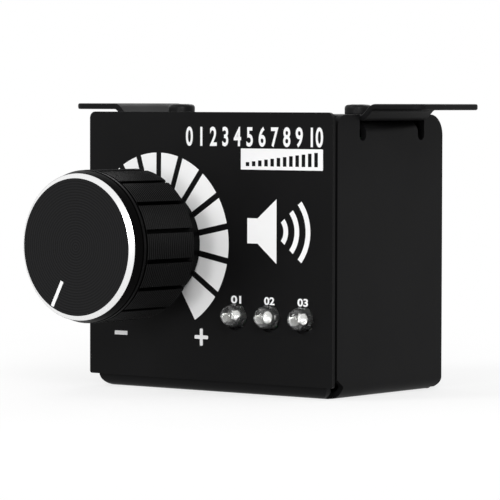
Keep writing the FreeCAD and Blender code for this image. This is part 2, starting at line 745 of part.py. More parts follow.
def make_pot_rotor():
    """Moulded rotor on the spindle, with the lug that meets the end stop."""
    disc = rod(ROTOR_RADIUS, ROTOR_FRONT, ROTOR_BACK)
    lug = ring_sector(BORE_RADIUS - ROTOR_LUG_GAP, SPINDLE_RADIUS + CORE_WALL, ROTOR_LUG_HALF_ANGLE,
                      ROTOR_FRONT, ROTOR_BACK)
    rotor = disc.fuse(clockwise(lug, POINTER_REST))
    return rotor.cut(rod(SPINDLE_RADIUS + ROTOR_FIT, ROTOR_FRONT - CUT, ROTOR_BACK + CUT)).removeSplitter()


def make_pot_wiper():
    """Sprung contact ring on the rotor, with two arms that reach to the wafer."""
    ring = tube(WIPER_OUTER, WIPER_INNER, ROTOR_BACK, ROTOR_BACK + WIPER_SHEET)
    half = WIPER_ARM_WIDTH / 2
    root = (WIPER_INNER + WIPER_OUTER) / 2
    reach = HOUSING_BACK - WIPER_GAP
    lean = reach - ROTOR_BACK - WIPER_SHEET
    profile = [
        (vec(KNOB_X - half, ROTOR_BACK, KNOB_Z + root), 0.0),
        (vec(KNOB_X - half, ROTOR_BACK, KNOB_Z + WIPER_OUTER), 0.0),
        (vec(KNOB_X - half, reach - WIPER_SHEET, KNOB_Z + WIPER_OUTER + lean), 0.0),
        (vec(KNOB_X - half, reach, KNOB_Z + WIPER_OUTER + lean), 0.0),
        (vec(KNOB_X - half, reach, KNOB_Z + WIPER_OUTER + lean - WIPER_SHEET), 0.0),
        (vec(KNOB_X - half, ROTOR_BACK + WIPER_SHEET, KNOB_Z + root), 0.0),
    ]
    arm = rounded_face(profile).extrude(vec(WIPER_ARM_WIDTH, 0, 0))
    arms = [clockwise(arm, POINTER_REST + turn) for turn in (0, 180)]
    return ring.fuse(arms).removeSplitter()


def make_lamp_leads(x):
    """Lead frame of one lamp: an anvil and a post in the lens, and two legs to the board."""
    legs_front = LAMP_BACK - LAMP_RIM_THICKNESS / 2
    end = BOARD_BACK + LEAD_TAIL
    half = LEAD_WIDTH / 2
    thick = ANVIL_THICKNESS / 2
    leg_x = x + LEAD_PITCH / 2
    anvil_leg = box(leg_x - half, leg_x + half, legs_front, end, LAMP_Z - half, LAMP_Z + half)
    anvil = box(x + ANVIL_GAP / 2, x + ANVIL_GAP / 2 + ANVIL_WIDTH, LAMP_TIP + ANVIL_DEPTH,
                legs_front + LEAD_WIDTH, LAMP_Z - thick, LAMP_Z + thick)
    leg_x = x - LEAD_PITCH / 2
    post_leg = box(leg_x - half, leg_x + half, legs_front, end, LAMP_Z - half, LAMP_Z + half)
    post = box(x - ANVIL_GAP / 2 - POST_WIDTH, x - ANVIL_GAP / 2, LAMP_TIP + POST_DEPTH,
               legs_front + LEAD_WIDTH, LAMP_Z - thick, LAMP_Z + thick)
    link = box(leg_x - half, x - ANVIL_GAP / 2, legs_front, legs_front + LEAD_WIDTH,
               LAMP_Z - thick, LAMP_Z + thick)
    return Part.makeCompound([anvil_leg.fuse(anvil).removeSplitter(),
                              post_leg.fuse([post, link]).removeSplitter()])


def make_lamp_lens(x):
    """Clear domed lens with a rim behind the front wall, moulded round its lead frame."""
    profile = [(0, LAMP_TIP, 0)]
    for index in range(1, DOME_STEPS + 1):
        angle = math.pi / 2 * index / DOME_STEPS
        profile.append((LAMP_RADIUS * math.sin(angle), LAMP_TIP + LAMP_RADIUS * (1 - math.cos(angle)), 0))
    profile += [
        (LAMP_RADIUS, LAMP_BACK - LAMP_RIM_THICKNESS, 0),
        (LAMP_RIM_RADIUS, LAMP_BACK - LAMP_RIM_THICKNESS, 0),
        (LAMP_RIM_RADIUS, LAMP_BACK, 0),
        (0, LAMP_BACK, 0),
    ]
    return turned_solid(profile, x, LAMP_Z).cut(make_lamp_leads(x))


def make_lamp_spacer(x):
    """Spacer block that holds a lamp off the circuit board, with a hole for each lead."""
    half = LAMP_RIM_RADIUS
    spacer = box(x - half, x + half, LAMP_BACK, BOARD_FRONT, LAMP_Z - half, LAMP_Z + half)
    width = LEAD_WIDTH + 2 * LEAD_CLEARANCE
    holes = []
    for side in (-1, 1):
        holes.append(pin_hole(x + side * LEAD_PITCH / 2, LAMP_Z, width, width,
                              LAMP_BACK - CUT, BOARD_FRONT + CUT))
    return spacer.cut(holes)


def terminal_x(index):
    return KNOB_X + (index - (TERMINALS - 1) / 2) * TERMINAL_PITCH


def contact_x(index):
    return JACK_OFFSET + (index - (CONTACTS - 1) / 2) * CONTACT_PITCH


def make_circuit_board():
    """Board behind the potentiometer, with its drilled holes."""
    half = HALF_WIDTH - SHEET - BOARD_SIDE_GAP
    foot = FLOOR + SHEET + BOARD_FOOT_GAP
    board = box(-half, half, BOARD_FRONT, BOARD_BACK, foot, TOP - BOARD_HEAD_GAP)
    start = BOARD_FRONT - CUT
    end = BOARD_BACK + CUT
    holes = []
    for index in range(TERMINALS):
        z = KNOB_Z - TERMINAL_FOOT + TERMINAL_SHEET / 2
        holes.append(pin_hole(terminal_x(index), z, TERMINAL_WIDTH + 2 * TERMINAL_HOLE_CLEARANCE,
                              TERMINAL_SHEET + 2 * TERMINAL_HOLE_CLEARANCE, start, end))
    lead_hole = LEAD_WIDTH + 2 * LEAD_CLEARANCE
    for x in LAMP_XS:
        for side in (-1, 1):
            holes.append(pin_hole(x + side * LEAD_PITCH / 2, LAMP_Z, lead_hole, lead_hole, start, end))
    for index in range(CONTACTS):
        holes.append(pin_hole(contact_x(index), CONTACT_Z, CONTACT_WIDTH + 2 * CONTACT_CLEARANCE,
                              CONTACT_THICKNESS + 2 * CONTACT_CLEARANCE, start, end))
    return board.cut(holes)


def make_resistor(x):
    """Surface-mounted series resistor above a lamp's leads, on the back of the board."""
    z = LAMP_Z - RESISTOR_RISE
    return box(x - RESISTOR_LENGTH / 2, x + RESISTOR_LENGTH / 2, BOARD_BACK, BOARD_BACK + RESISTOR_HEIGHT,
               z - RESISTOR_WIDTH / 2, z + RESISTOR_WIDTH / 2)


def make_jack_contact(index):
    """Flat contact: through the board, along the roof of the socket, and folded back down."""
    x = contact_x(index) - CONTACT_WIDTH / 2
    start = BOARD_FRONT - LEAD_TAIL
    turn = JACK_MOUTH - CONTACT_MOUTH_GAP
    sweep = math.radians(CONTACT_FOLD)
    centre_z = CONTACT_Z - CONTACT_FOLD_RADIUS
    outer = CONTACT_FOLD_RADIUS + CONTACT_THICKNESS / 2
    inner = CONTACT_FOLD_RADIUS - CONTACT_THICKNESS / 2
    arm = vec(0, math.cos(sweep), -math.sin(sweep)) * CONTACT_ARM
    steps = [sweep * index / CONTACT_FOLD_STEPS for index in range(CONTACT_FOLD_STEPS + 1)]

    def on_fold(radius, angle):
        return vec(x, turn + radius * math.sin(angle), centre_z + radius * math.cos(angle))

    points = [vec(x, start, centre_z + outer)]
    points += [on_fold(outer, angle) for angle in steps]
    points += [on_fold(outer, sweep) + arm, on_fold(inner, sweep) + arm]
    points += [on_fold(inner, angle) for angle in reversed(steps)]
    points.append(vec(x, start, centre_z + inner))
    outline = Part.makePolygon(points + points[:1])
    return Part.Face(outline).extrude(vec(CONTACT_WIDTH, 0, 0))


def make_jack_housing():
    """Moulded socket between the board and the rear wall, with a plug opening and keyway."""
    body = box(JACK_OFFSET - JACK_WIDTH / 2, JACK_OFFSET + JACK_WIDTH / 2, BOARD_BACK, JACK_MOUTH,
               JACK_Z - JACK_HEIGHT / 2, JACK_Z + JACK_HEIGHT / 2)
    deep = JACK_MOUTH - SOCKET_DEPTH
    socket = box(JACK_OFFSET - SOCKET_WIDTH / 2, JACK_OFFSET + SOCKET_WIDTH / 2, deep, JACK_MOUTH + CUT,
                 SOCKET_BOTTOM, SOCKET_TOP)
    keyway = box(JACK_OFFSET - KEYWAY_WIDTH / 2, JACK_OFFSET + KEYWAY_WIDTH / 2, deep, JACK_MOUTH + CUT,
                 SOCKET_BOTTOM - KEYWAY_DEPTH, SOCKET_TOP)
    tools = [socket, keyway]
    width = CONTACT_WIDTH + 2 * CONTACT_CLEARANCE
    turn = JACK_MOUTH - CONTACT_MOUTH_GAP + CONTACT_FOLD_RADIUS + CONTACT_THICKNESS
    for index in range(CONTACTS):
        tools.append(pin_hole(contact_x(index), CONTACT_Z, width, CONTACT_CHANNEL + CONTACT_CLEARANCE,
                              BOARD_BACK - CUT, turn))
    return body.cut(tools).removeSplitter()


def collect_nodes():
    """Every piece by name."""
    nodes = {
        "base_tray": make_base_tray(),
        "top_cover": make_top_cover(),
        "cover_screws": make_cover_screws(),
        "front_panel": make_front_panel(),
        "knob_shell": make_knob_shell(),
        "knob_core": make_knob_core(),
        "knob_pointer": make_knob_pointer(),
        "pot_shaft": make_pot_shaft(),
        "pot_bushing": make_pot_bushing(),
        "pot_nut": make_pot_nut(),
        "pot_washer": make_pot_washer(),
        "pot_housing": make_pot_housing(),
        "pot_wafer": make_pot_wafer(),
        "pot_can": make_pot_can(),
        "pot_rotor": make_pot_rotor(),
        "pot_wiper": make_pot_wiper(),
        "circuit_board": make_circuit_board(),
        "jack_housing": make_jack_housing(),
    }
    for index in range(TERMINALS):
        nodes["pot_terminal_%d" % (index + 1)] = make_pot_terminal(index)
    for index, x in enumerate(LAMP_XS):
        nodes["lamp_lens_%d" % (index + 1)] = make_lamp_lens(x)
        nodes["lamp_leads_%d" % (index + 1)] = make_lamp_leads(x)
        nodes["lamp_spacer_%d" % (index + 1)] = make_lamp_spacer(x)
        nodes["resistor_%d" % (index + 1)] = make_resistor(x)
    for index in range(CONTACTS):
        nodes["jack_contact_%d" % (index + 1)] = make_jack_contact(index)
    return nodes


def main():
    os.makedirs("parts", exist_ok=True)
    for name, shape in collect_nodes().items():
        shape.exportStep("parts/%s.step" % name)
        print("%-16s solids %d  valid %s  volume %.2f mm3" % (
            name, len(shape.Solids), shape.isValid(), shape.Volume))


main()
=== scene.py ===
"""Dressed model of a level remote control: a folded steel box with a dial panel and a turned knob.

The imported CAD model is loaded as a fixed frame, in metres: X to the right as the panel is read, Y back
from the panel, Z up, and the origin midway between the two mounting holes. Sizes are millimetres in
that frame where no other unit is named. Directions on the panel are degrees clockwise from the top.
"""

import logging
import math
from dataclasses import dataclass
from enum import Enum
from typing import Callable, Sequence

import bpy
from mathutils import Euler, Matrix, Vector


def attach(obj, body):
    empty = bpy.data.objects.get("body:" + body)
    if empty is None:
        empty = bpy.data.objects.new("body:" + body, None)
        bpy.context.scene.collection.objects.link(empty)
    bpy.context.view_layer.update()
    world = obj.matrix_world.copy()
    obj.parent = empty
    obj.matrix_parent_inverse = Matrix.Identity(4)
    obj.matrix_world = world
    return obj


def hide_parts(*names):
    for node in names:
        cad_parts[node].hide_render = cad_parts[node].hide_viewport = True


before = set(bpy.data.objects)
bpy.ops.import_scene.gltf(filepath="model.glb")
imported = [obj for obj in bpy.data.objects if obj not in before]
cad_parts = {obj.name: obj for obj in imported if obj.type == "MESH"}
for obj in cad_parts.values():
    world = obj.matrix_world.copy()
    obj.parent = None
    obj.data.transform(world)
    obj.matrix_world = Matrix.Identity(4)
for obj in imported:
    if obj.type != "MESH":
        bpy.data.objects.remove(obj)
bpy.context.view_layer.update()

LOG = logging.getLogger("level_control")
MM = 0.001
MICRON = 0.000001

KNOB_AXIS = (-8.1, -18.6)
PANEL_FACE = -13.9
LAMP_PLACES = (4.7, 10.2, 15.7)
SEEN_RAYS = ("Is Camera Ray", "Is Glossy Ray", "Is Transmission Ray")

Colour = tuple[float, float, float]
Point = tuple[float, float, float]
Spot = tuple[float, float]
Piece = bpy.types.Object
Tree = bpy.types.NodeTree
Node = bpy.types.Node
Socket = bpy.types.NodeSocket


class Body(Enum):
    """The two bodies of the CAD model."""

    BOX = "control_box"
    KNOB = "knob"


class Axis(Enum):
    """Axis that a turned piece is made round, with its vector index."""

    DEPTH = 1
    HEIGHT = 2


class Bench:
    """Operations of the modelling bench, each on the piece that it is given."""

    DOUBLES = 0.5 * MICRON
    CAD_DOUBLES = 2 * MICRON
    CAD_FLATNESS = 1.0

    @staticmethod
    def clear() -> None:
        """Leaves nothing selected."""
        if bpy.context.object and bpy.context.object.mode != "OBJECT":
            bpy.ops.object.mode_set(mode="OBJECT")
        bpy.ops.object.select_all(action="DESELECT")

    @staticmethod
    def take(piece: Piece) -> None:
        """Makes a piece the one that the operators work on.

        Args:
            piece: Piece to work on.
        """
        Bench.clear()
        piece.select_set(True)
        bpy.context.view_layer.objects.active = piece

    @staticmethod
    def named(name: str) -> Piece:
        """Names the newest primitive and its mesh, and applies its place.

        Args:
            name: Name of the piece.

        Returns:
            The piece, with its object at the origin.
        """
        piece = bpy.context.object
        piece.name = name
        piece.data.name = name
        bpy.ops.object.transform_apply(location=True, rotation=True, scale=True)
        return piece

    @staticmethod
    def tidy(piece: Piece, smooth: float = 30.0) -> Piece:
        """Merges doubles, points the faces outwards and smooths the shallow edges.

        Args:
            piece: Piece to finish.
            smooth: Largest angle that is shaded smooth, in degrees.

        Returns:
            The same piece.
        """
        Bench.take(piece)
        bpy.ops.object.mode_set(mode="EDIT")
        bpy.ops.mesh.select_all(action="SELECT")
        bpy.ops.mesh.remove_doubles(threshold=Bench.DOUBLES)
        bpy.ops.mesh.normals_make_consistent(inside=False)
        bpy.ops.object.mode_set(mode="OBJECT")
        bpy.ops.object.shade_smooth_by_angle(angle=math.radians(smooth))
        return piece

    @staticmethod
    def turned(
        name: str,
        profile: Sequence[Spot],
        centre: Spot,
        sides: int,
        axis: Axis = Axis.DEPTH,
    ) -> Piece:
        """Turns a piece from a disc that is extruded and scaled ring by ring.

        Args:
            name: Name of the piece.
            profile: Radius and place along the axis of each ring, from one end face to the other.
            centre: Place of the axis in its plane, as X and Z, or as X and Y for an upright axis.
            sides: Number of sides of the rings.
            axis: Axis that the piece is turned round.

        Returns:
            The closed piece.
        """
        upright = axis is Axis.HEIGHT

        def point(place: float) -> Point:
            """Gives a point of the axis.

            Args:
                place: Place along the axis.

            Returns:
                The point in metres.
            """
            if upright:
                return (centre[0] * MM, centre[1] * MM, place * MM)
            return (centre[0] * MM, place * MM, centre[1] * MM)

        Bench.clear()
        radius, place = profile[0]
        bpy.ops.mesh.primitive_circle_add(
            vertices=sides,
            radius=radius * MM,
            fill_type="NGON",
            location=point(place),
            rotation=(0.0 if upright else math.radians(90), 0, 0),
        )
        piece = Bench.named(name)
        bpy.ops.object.mode_set(mode="EDIT")
        bpy.ops.mesh.select_mode(type="FACE")
        bpy.ops.mesh.select_all(action="SELECT")
        for next_radius, next_place in profile[1:]:
            step = [0.0, 0.0, 0.0]
            step[axis.value] = (next_place - place) * MM
            bpy.ops.mesh.extrude_region_move(TRANSFORM_OT_translate={"value": tuple(step)})
            ratio = next_radius / radius
            if not math.isclose(ratio, 1.0):
                scale = [ratio, ratio, ratio]
                scale[axis.value] = 1.0
                bpy.ops.transform.resize(value=tuple(scale), center_override=point(next_place))
            radius, place = next_radius, next_place
        return Bench.tidy(piece)

    @staticmethod
    def bar(name: str, centre: Sequence[float], size: Sequence[float], turn: float = 0.0) -> Piece:
        """Adds a straight bar, turned clockwise as the panel is read.

        Args:
            name: Name of the piece.
            centre: Middle of the bar.
            size: Width, depth and height of the bar before it is turned.
            turn: Angle in degrees.

        Returns:
            The bar.
        """
        Bench.clear()
        bpy.ops.mesh.primitive_cube_add(
            size=1.0,
            location=[value * MM for value in centre],
            rotation=(0, math.radians(turn), 0),
            scale=[value * MM for value in size],
        )
        return Bench.named(name)

    @staticmethod
    def wedge(name: str, centre: Spot, reach: float, turn: float, half: float) -> Piece:
        """Adds a three-sided prism with its point on a front-to-back axis.

        Args:
            name: Name of the piece.
            centre: X and Z of the axis.
            reach: Length of the prism away from the axis.
            turn: Direction of the prism, in degrees clockwise from the top.
            half: Half of the angle at its point, in degrees.

        Returns:
            The prism, two millimetres deep to either side of zero depth.
        """
        Bench.clear()
        radius = reach * 2 / 3
        angle = math.radians(turn)
        widen = math.tan(math.radians(half)) / math.tan(math.radians(30))
        bpy.ops.mesh.primitive_cylinder_add(
            vertices=3,
            radius=radius * MM,
            depth=4 * MM,
            location=(
                (centre[0] + radius * math.sin(angle)) * MM,
                0,
                (centre[1] + radius * math.cos(angle)) * MM,
            ),
            rotation=(math.radians(90), angle - math.pi, 0),
            scale=(widen, 1, 1),
        )
        return Bench.named(name)

    @staticmethod
    def fitted(
        piece: Piece, scale: Sequence[float], about: Sequence[float], shift: Sequence[float]
    ) -> Piece:
        """Scales a piece about a point, and then shifts it.

        Args:
            piece: Piece to fit.
            scale: Scale along each axis.
            about: Point that stays in its place, in metres.
            shift: Shift in metres.

        Returns:
            The same piece.
        """
        Bench.take(piece)
        bpy.ops.object.mode_set(mode="EDIT")
        bpy.ops.mesh.select_all(action="SELECT")
        bpy.ops.transform.resize(value=tuple(scale), center_override=tuple(about))
        bpy.ops.transform.translate(value=tuple(shift))
        bpy.ops.object.mode_set(mode="OBJECT")
        return piece

    @staticmethod
    def pick_edges(piece: Piece, wanted: Callable[[Vector, Vector], bool]) -> None:
        """Enters edit mode with only the wanted edges selected.

        Args:
            piece: Piece whose edges are picked.
            wanted: Test of an edge's two ends.
        """
        Bench.take(piece)
        bpy.ops.object.mode_set(mode="EDIT")
        bpy.ops.mesh.select_mode(type="EDGE")
        bpy.ops.mesh.select_all(action="DESELECT")
        bpy.ops.object.mode_set(mode="OBJECT")
        corners = piece.data.vertices
        for edge in piece.data.edges:
            first, second = (corners[index].co for index in edge.vertices)
            edge.select = wanted(first, second)
        bpy.ops.object.mode_set(mode="EDIT")

    @staticmethod
    def runs_back(first: Vector, second: Vector) -> bool:
        """Tells whether an edge with these ends runs straight back."""
        return abs(first.x - second.x) < MICRON and abs(first.z - second.z) < MICRON

    @staticmethod
    def repeated(piece: Piece, name: str, shift: Point, turn: float = 0.0) -> Piece:
        """Copies a piece to a place, with a mesh of its own.

        Args:
            piece: Piece that was made in the middle, at X = 0.
            name: Name of the copy.
            shift: Shift of the copy.
            turn: Its turn about the upright axis, in degrees.

        Returns:
            The copy.
        """
        Bench.take(piece)
        bpy.ops.object.duplicate()
        bpy.context.object.location = [value * MM for value in shift]
        bpy.context.object.rotation_euler = (0, 0, math.radians(turn))
        return Bench.named(name)

    @staticmethod
    def drop(*pieces: Piece) -> None:
        """Takes pieces out that have done their work."""
        for piece in pieces:
            bpy.data.objects.remove(piece, do_unlink=True)

    @staticmethod
    def joined(name: str, pieces: Sequence[Piece]) -> Piece:
        """Joins pieces into one.

        Args:
            name: Name of the result.
            pieces: Pieces to join.

        Returns:
            The joined piece.
        """
        Bench.take(pieces[0])
        for piece in pieces[1:]:
            piece.select_set(True)
        if len(pieces) > 1:
            bpy.ops.object.join()
        pieces[0].name = name
        pieces[0].data.name = name
        return pieces[0]

    @staticmethod
    def boolean(piece: Piece, tool: Piece, operation: str = "DIFFERENCE") -> Piece:
        """Cuts a piece with a tool, which is used up.

        Args:
            piece: Piece to cut.
            tool: Cutting piece.
            operation: Name of the boolean operation.

        Returns:
            The cut piece.
        """
        Bench.take(piece)
        modifier = piece.modifiers.new("cut", "BOOLEAN")
        modifier.operation = operation
        modifier.solver = "EXACT"
        modifier.use_self = True
        modifier.object = tool
        bpy.ops.object.modifier_apply(modifier=modifier.name)
        Bench.drop(tool)
        return piece

    @staticmethod
    def eased(
        piece: Piece, width: float, angle: float = 35.0, segments: int = 2, clamp: bool = True
    ) -> Piece:
        """Rounds the sharp edges of a piece a little.

        Args:
            piece: Piece to ease.
            width: Width of the rounding.
            angle: Least angle of an edge that is rounded, in degrees.
            segments: Number of steps across the rounding.
            clamp: Whether short edges hold the width back.

        Returns:
            The same piece.
        """
        Bench.take(piece)
        bpy.ops.object.shade_smooth_by_angle(angle=math.radians(angle))
        modifier = piece.modifiers.new("eased edges", "BEVEL")
        modifier.width = width * MM
        modifier.segments = segments
        modifier.limit_method = "ANGLE"
        modifier.angle_limit = math.radians(angle)
        modifier.harden_normals = True
        modifier.use_clamp_overlap = clamp
        bpy.ops.object.modifier_apply(modifier=modifier.name)
        return piece

    @staticmethod
    def copied(name: str, node: str) -> Piece:
        """Copies a CAD node with its triangles merged into whole faces.

        Args:
            name: Name of the new piece.
            node: CAD node that is copied.

        Returns:
            The new piece.
        """
        Bench.clear()
        piece = bpy.data.objects.new(name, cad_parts[node].data.copy())
        bpy.context.scene.collection.objects.link(piece)
        piece.data.name = name
        piece.data.materials.clear()
        Bench.take(piece)
        bpy.ops.mesh.customdata_custom_splitnormals_clear()
        bpy.ops.object.mode_set(mode="EDIT")
        bpy.ops.mesh.select_all(action="SELECT")
        bpy.ops.mesh.remove_doubles(threshold=Bench.CAD_DOUBLES)
        bpy.ops.mesh.dissolve_limited(angle_limit=math.radians(Bench.CAD_FLATNESS))
        bpy.ops.object.mode_set(mode="OBJECT")
        return piece


class Effects:
    """Shader node groups that several finishes share."""

    GRAIN = {"Fine Scale": 2500.0, "Slow Scale": 90.0, "Detail": 2.0}
    SLOW_DETAIL = 3.0
    SLOW_LIMITS = (0.3, 0.7)
    RINGS = {"Centre X": 0.0, "Centre Z": 0.0, "Pitch": 0.0002}
    BAND_SCALE = 1.7
    BAND_DETAIL = 2.0

    _groups: dict[str, Tree] = {}

    @classmethod
    def _start(cls, name: str, inputs: dict[str, float], outputs: Sequence[str]) -> Tree:
        """Makes an empty group with a vector input, number inputs and number outputs.

        Args:
            name: Name of the group.
            inputs: Name and first value of each number input.
            outputs: Names of the number outputs.

        Returns:
            The group.
        """
        group = bpy.data.node_groups.new(name, "ShaderNodeTree")
        group.interface.new_socket("Vector", in_out="INPUT", socket_type="NodeSocketVector")
        for key, value in inputs.items():
            socket = group.interface.new_socket(key, in_out="INPUT", socket_type="NodeSocketFloat")
            socket.default_value = value
        for key in outputs:
            group.interface.new_socket(key, in_out="OUTPUT", socket_type="NodeSocketFloat")
        cls._groups[name] = group
        return group

    @staticmethod
    def _math(
        tree: Tree, operation: str, first: Socket | float, second: Socket | float | None = None
    ) -> Socket:
        """Adds a math node that is fed by sockets or numbers.

        Args:
            tree: Node tree that it goes in.
            operation: Name of the operation.
            first: First operand.
            second: Second operand, if the operation has one.

        Returns:
            The result.
        """
        node = tree.nodes.new("ShaderNodeMath")
        node.operation = operation
        for socket, value in zip(node.inputs, (first, second)):
            if isinstance(value, Socket):
                tree.links.new(value, socket)
            elif value is not None:
                socket.default_value = value
        return node.outputs[0]

    @classmethod
    def grain(cls) -> Tree:
        """Gives fine and broad unevenness: a height for bumps, and a slow mask for colour and gloss.

        Returns:
            The group, made at its first use.
        """
        if "surface grain" in cls._groups:
            return cls._groups["surface grain"]
        group = cls._start("surface grain", cls.GRAIN, ("Height", "Mask"))
        ends = group.nodes.new("NodeGroupInput"), group.nodes.new("NodeGroupOutput")
        fine = group.nodes.new("ShaderNodeTexNoise")
        slow = group.nodes.new("ShaderNodeTexNoise")
        slow.inputs["Detail"].default_value = cls.SLOW_DETAIL
        for noise, scale in ((fine, "Fine Scale"), (slow, "Slow Scale")):
            group.links.new(ends[0].outputs["Vector"], noise.inputs["Vector"])
            group.links.new(ends[0].outputs[scale], noise.inputs["Scale"])
        group.links.new(ends[0].outputs["Detail"], fine.inputs["Detail"])
        spread = group.nodes.new("ShaderNodeMapRange")
        spread.inputs["From Min"].default_value = cls.SLOW_LIMITS[0]
        spread.inputs["From Max"].default_value = cls.SLOW_LIMITS[1]
        group.links.new(slow.outputs[0], spread.inputs["Value"])
        group.links.new(fine.outputs[0], ends[1].inputs["Height"])
        group.links.new(spread.outputs[0], ends[1].inputs["Mask"])
        return group

    @classmethod
    def rings(cls) -> Tree:
        """Gives tool marks round a front-to-back axis: a height, the radius and a broken-up mask.

        Returns:
            The group, made at its first use.
        """
        if "turning marks" in cls._groups:
            return cls._groups["turning marks"]
        group = cls._start("turning marks", cls.RINGS, ("Height", "Radius", "Mask"))
        ends = group.nodes.new("NodeGroupInput"), group.nodes.new("NodeGroupOutput")
        parts = group.nodes.new("ShaderNodeSeparateXYZ")
        group.links.new(ends[0].outputs["Vector"], parts.inputs[0])
        x = cls._math(group, "SUBTRACT", parts.outputs["X"], ends[0].outputs["Centre X"])
        z = cls._math(group, "SUBTRACT", parts.outputs["Z"], ends[0].outputs["Centre Z"])
        squares = [cls._math(group, "POWER", value, 2.0) for value in (x, z)]
        radius = cls._math(group, "SQRT", cls._math(group, "ADD", *squares))
        turns = cls._math(group, "DIVIDE", radius, ends[0].outputs["Pitch"])
        wave = cls._math(group, "SINE", cls._math(group, "MULTIPLY", turns, 2 * math.pi))
        band = group.nodes.new("ShaderNodeTexNoise")
        band.noise_dimensions = "1D"
        band.inputs["Scale"].default_value = cls.BAND_SCALE
        band.inputs["Detail"].default_value = cls.BAND_DETAIL
        group.links.new(turns, band.inputs["W"])
        group.links.new(wave, ends[1].inputs["Height"])
        group.links.new(radius, ends[1].inputs["Radius"])
        group.links.new(band.outputs[0], ends[1].inputs["Mask"])
        return group


class Sheet:
    """A material's node sheet, with short calls that add and join its nodes."""

    def __init__(self, name: str) -> None:
        """Starts a sheet with one Principled shader.

        Args:
            name: Name of the material.
        """
        self.material = bpy.data.materials.new(name)
        self.material.use_nodes = True
        self.tree = self.material.node_tree
        self.tree.nodes.clear()
        self.output = self.add("ShaderNodeOutputMaterial")
        self.shader = self.add("ShaderNodeBsdfPrincipled")
        self.tree.links.new(self.shader.outputs["BSDF"], self.output.inputs["Surface"])
        self.place = self.add("ShaderNodeTexCoord").outputs["Object"]

    def add(self, kind: str) -> Node:
        """Adds a node of a kind."""
        return self.tree.nodes.new(kind)

    def join(self, source: Socket, target: Socket) -> None:
        """Joins two sockets."""
        self.tree.links.new(source, target)

    def swap(self, source: Socket, target: Socket) -> None:
        """Joins a socket in the place of an earlier node, which is taken out.

        Args:
            source: Socket that feeds the target from now on.
            target: Socket that another node has fed.
        """
        self.tree.nodes.remove(target.links[0].from_node)
        self.join(source, target)

    def mixed(self, kind: str, first: Socket, second: Socket, mask: Socket | None = None) -> Socket:
        """Adds or mixes two shaders.

        Args:
            kind: Type of the node, whose last two inputs are shaders.
            first: First shader.
            second: Second shader.
            mask: Share of the second shader, for a mix.

        Returns:
            The resulting shader.
        """
        node = self.add(kind)
        if mask is not None:
            self.join(mask, node.inputs["Fac"])
        self.join(first, node.inputs[-2])
        self.join(second, node.inputs[-1])
        return node.outputs[0]

    def effect(self, group: Tree, values: dict[str, float]) -> Node:
        """Places a shared effect, fed by the object's own coordinates.

        Args:
            group: Node group of the effect.
            values: Values of its number inputs.

        Returns:
            The group node.
        """
        node = self.add("ShaderNodeGroup")
        node.node_tree = group
        self.join(self.place, node.inputs["Vector"])
        for key, value in values.items():
            node.inputs[key].default_value = value
        return node

    def blend(self, mask: Socket, low: Colour, high: Colour) -> Socket:
        """Mixes two colours by a mask.

        Args:
            mask: Mask from 0 to 1.
            low: Colour where the mask is 0.
            high: Colour where the mask is 1.

        Returns:
            The mixed colour.
        """
        node = self.add("ShaderNodeMix")
        node.data_type = "RGBA"
        self.join(mask, node.inputs["Factor"])
        node.inputs["A"].default_value = (*low, 1.0)
        node.inputs["B"].default_value = (*high, 1.0)
        return node.outputs["Result"]

    def ranged(self, mask: Socket, low: float, high: float) -> Socket:
        """Spreads a mask from 0 to 1 over a range of values.

        Args:
            mask: Mask from 0 to 1.
            low: Value where the mask is 0.
            high: Value where the mask is 1.

        Returns:
            The value.
        """
        node = self.add("ShaderNodeMapRange")
        self.join(mask, node.inputs["Value"])
        node.inputs["To Min"].default_value = low
        node.inputs["To Max"].default_value = high
        return node.outputs[0]

    def bump(self, height: Socket, depth: float, under: Socket | None = None) -> Socket:
        """Turns a height into a normal.

        Args:
            height: Height from 0 to 1.
            depth: Depth of the relief in metres.
            under: Normal of another relief that this one lies on.

        Returns:
            The normal.
        """
        node = self.add("ShaderNodeBump")
        node.inputs["Strength"].default_value = 1.0
        node.inputs["Distance"].default_value = depth
        self.join(height, node.inputs["Height"])
        if under is not None:
            self.join(under, node.inputs["Normal"])
        return node.outputs["Normal"]


@dataclass(frozen=True)
class Finish:
    """A finish with grain, slow colour drift and uneven gloss.

    Sizes are millimetres and the depth of the grain is microns.
    """

    name: str
    colour: Colour
    drift: float = 0.12
    roughness: Spot = (0.4, 0.5)
    metallic: float = 0.0
    specular: float = 0.5
    coat: float = 0.0
    coat_roughness: float = 0.1
    grain: float = 0.4
    depth: float = 3.0
    patch: float = 9.0

    def _tones(self, spread: float) -> tuple[Colour, Colour]:
        """Gives the colour darkened and lightened by a share."""
        low = tuple(value * (1 - spread) for value in self.colour)
        return low, tuple(min(1.0, value * (1 + spread)) for value in self.colour)

    def sheet(self) -> Sheet:
        """Makes the node sheet.

        Returns:
            The sheet, with all its inputs fed.
        """
        sheet = Sheet(self.name)
        shader = sheet.shader
        shader.inputs["Metallic"].default_value = self.metallic
        shader.inputs["Specular IOR Level"].default_value = self.specular
        shader.inputs["Coat Weight"].default_value = self.coat
        shader.inputs["Coat Roughness"].default_value = self.coat_roughness
        scales = {"Fine Scale": 1 / (self.grain * MM), "Slow Scale": 1 / (self.patch * MM)}
        grain = sheet.effect(Effects.grain(), scales)
        mask = grain.outputs["Mask"]
        sheet.join(sheet.blend(mask, *self._tones(self.drift)), shader.inputs["Base Color"])
        sheet.join(sheet.ranged(mask, *self.roughness), shader.inputs["Roughness"])
        sheet.join(sheet.bump(grain.outputs["Height"], self.depth * MICRON), shader.inputs["Normal"])
        return sheet

    def material(self) -> bpy.types.Material:
        """Makes the material."""
        return self.sheet().material


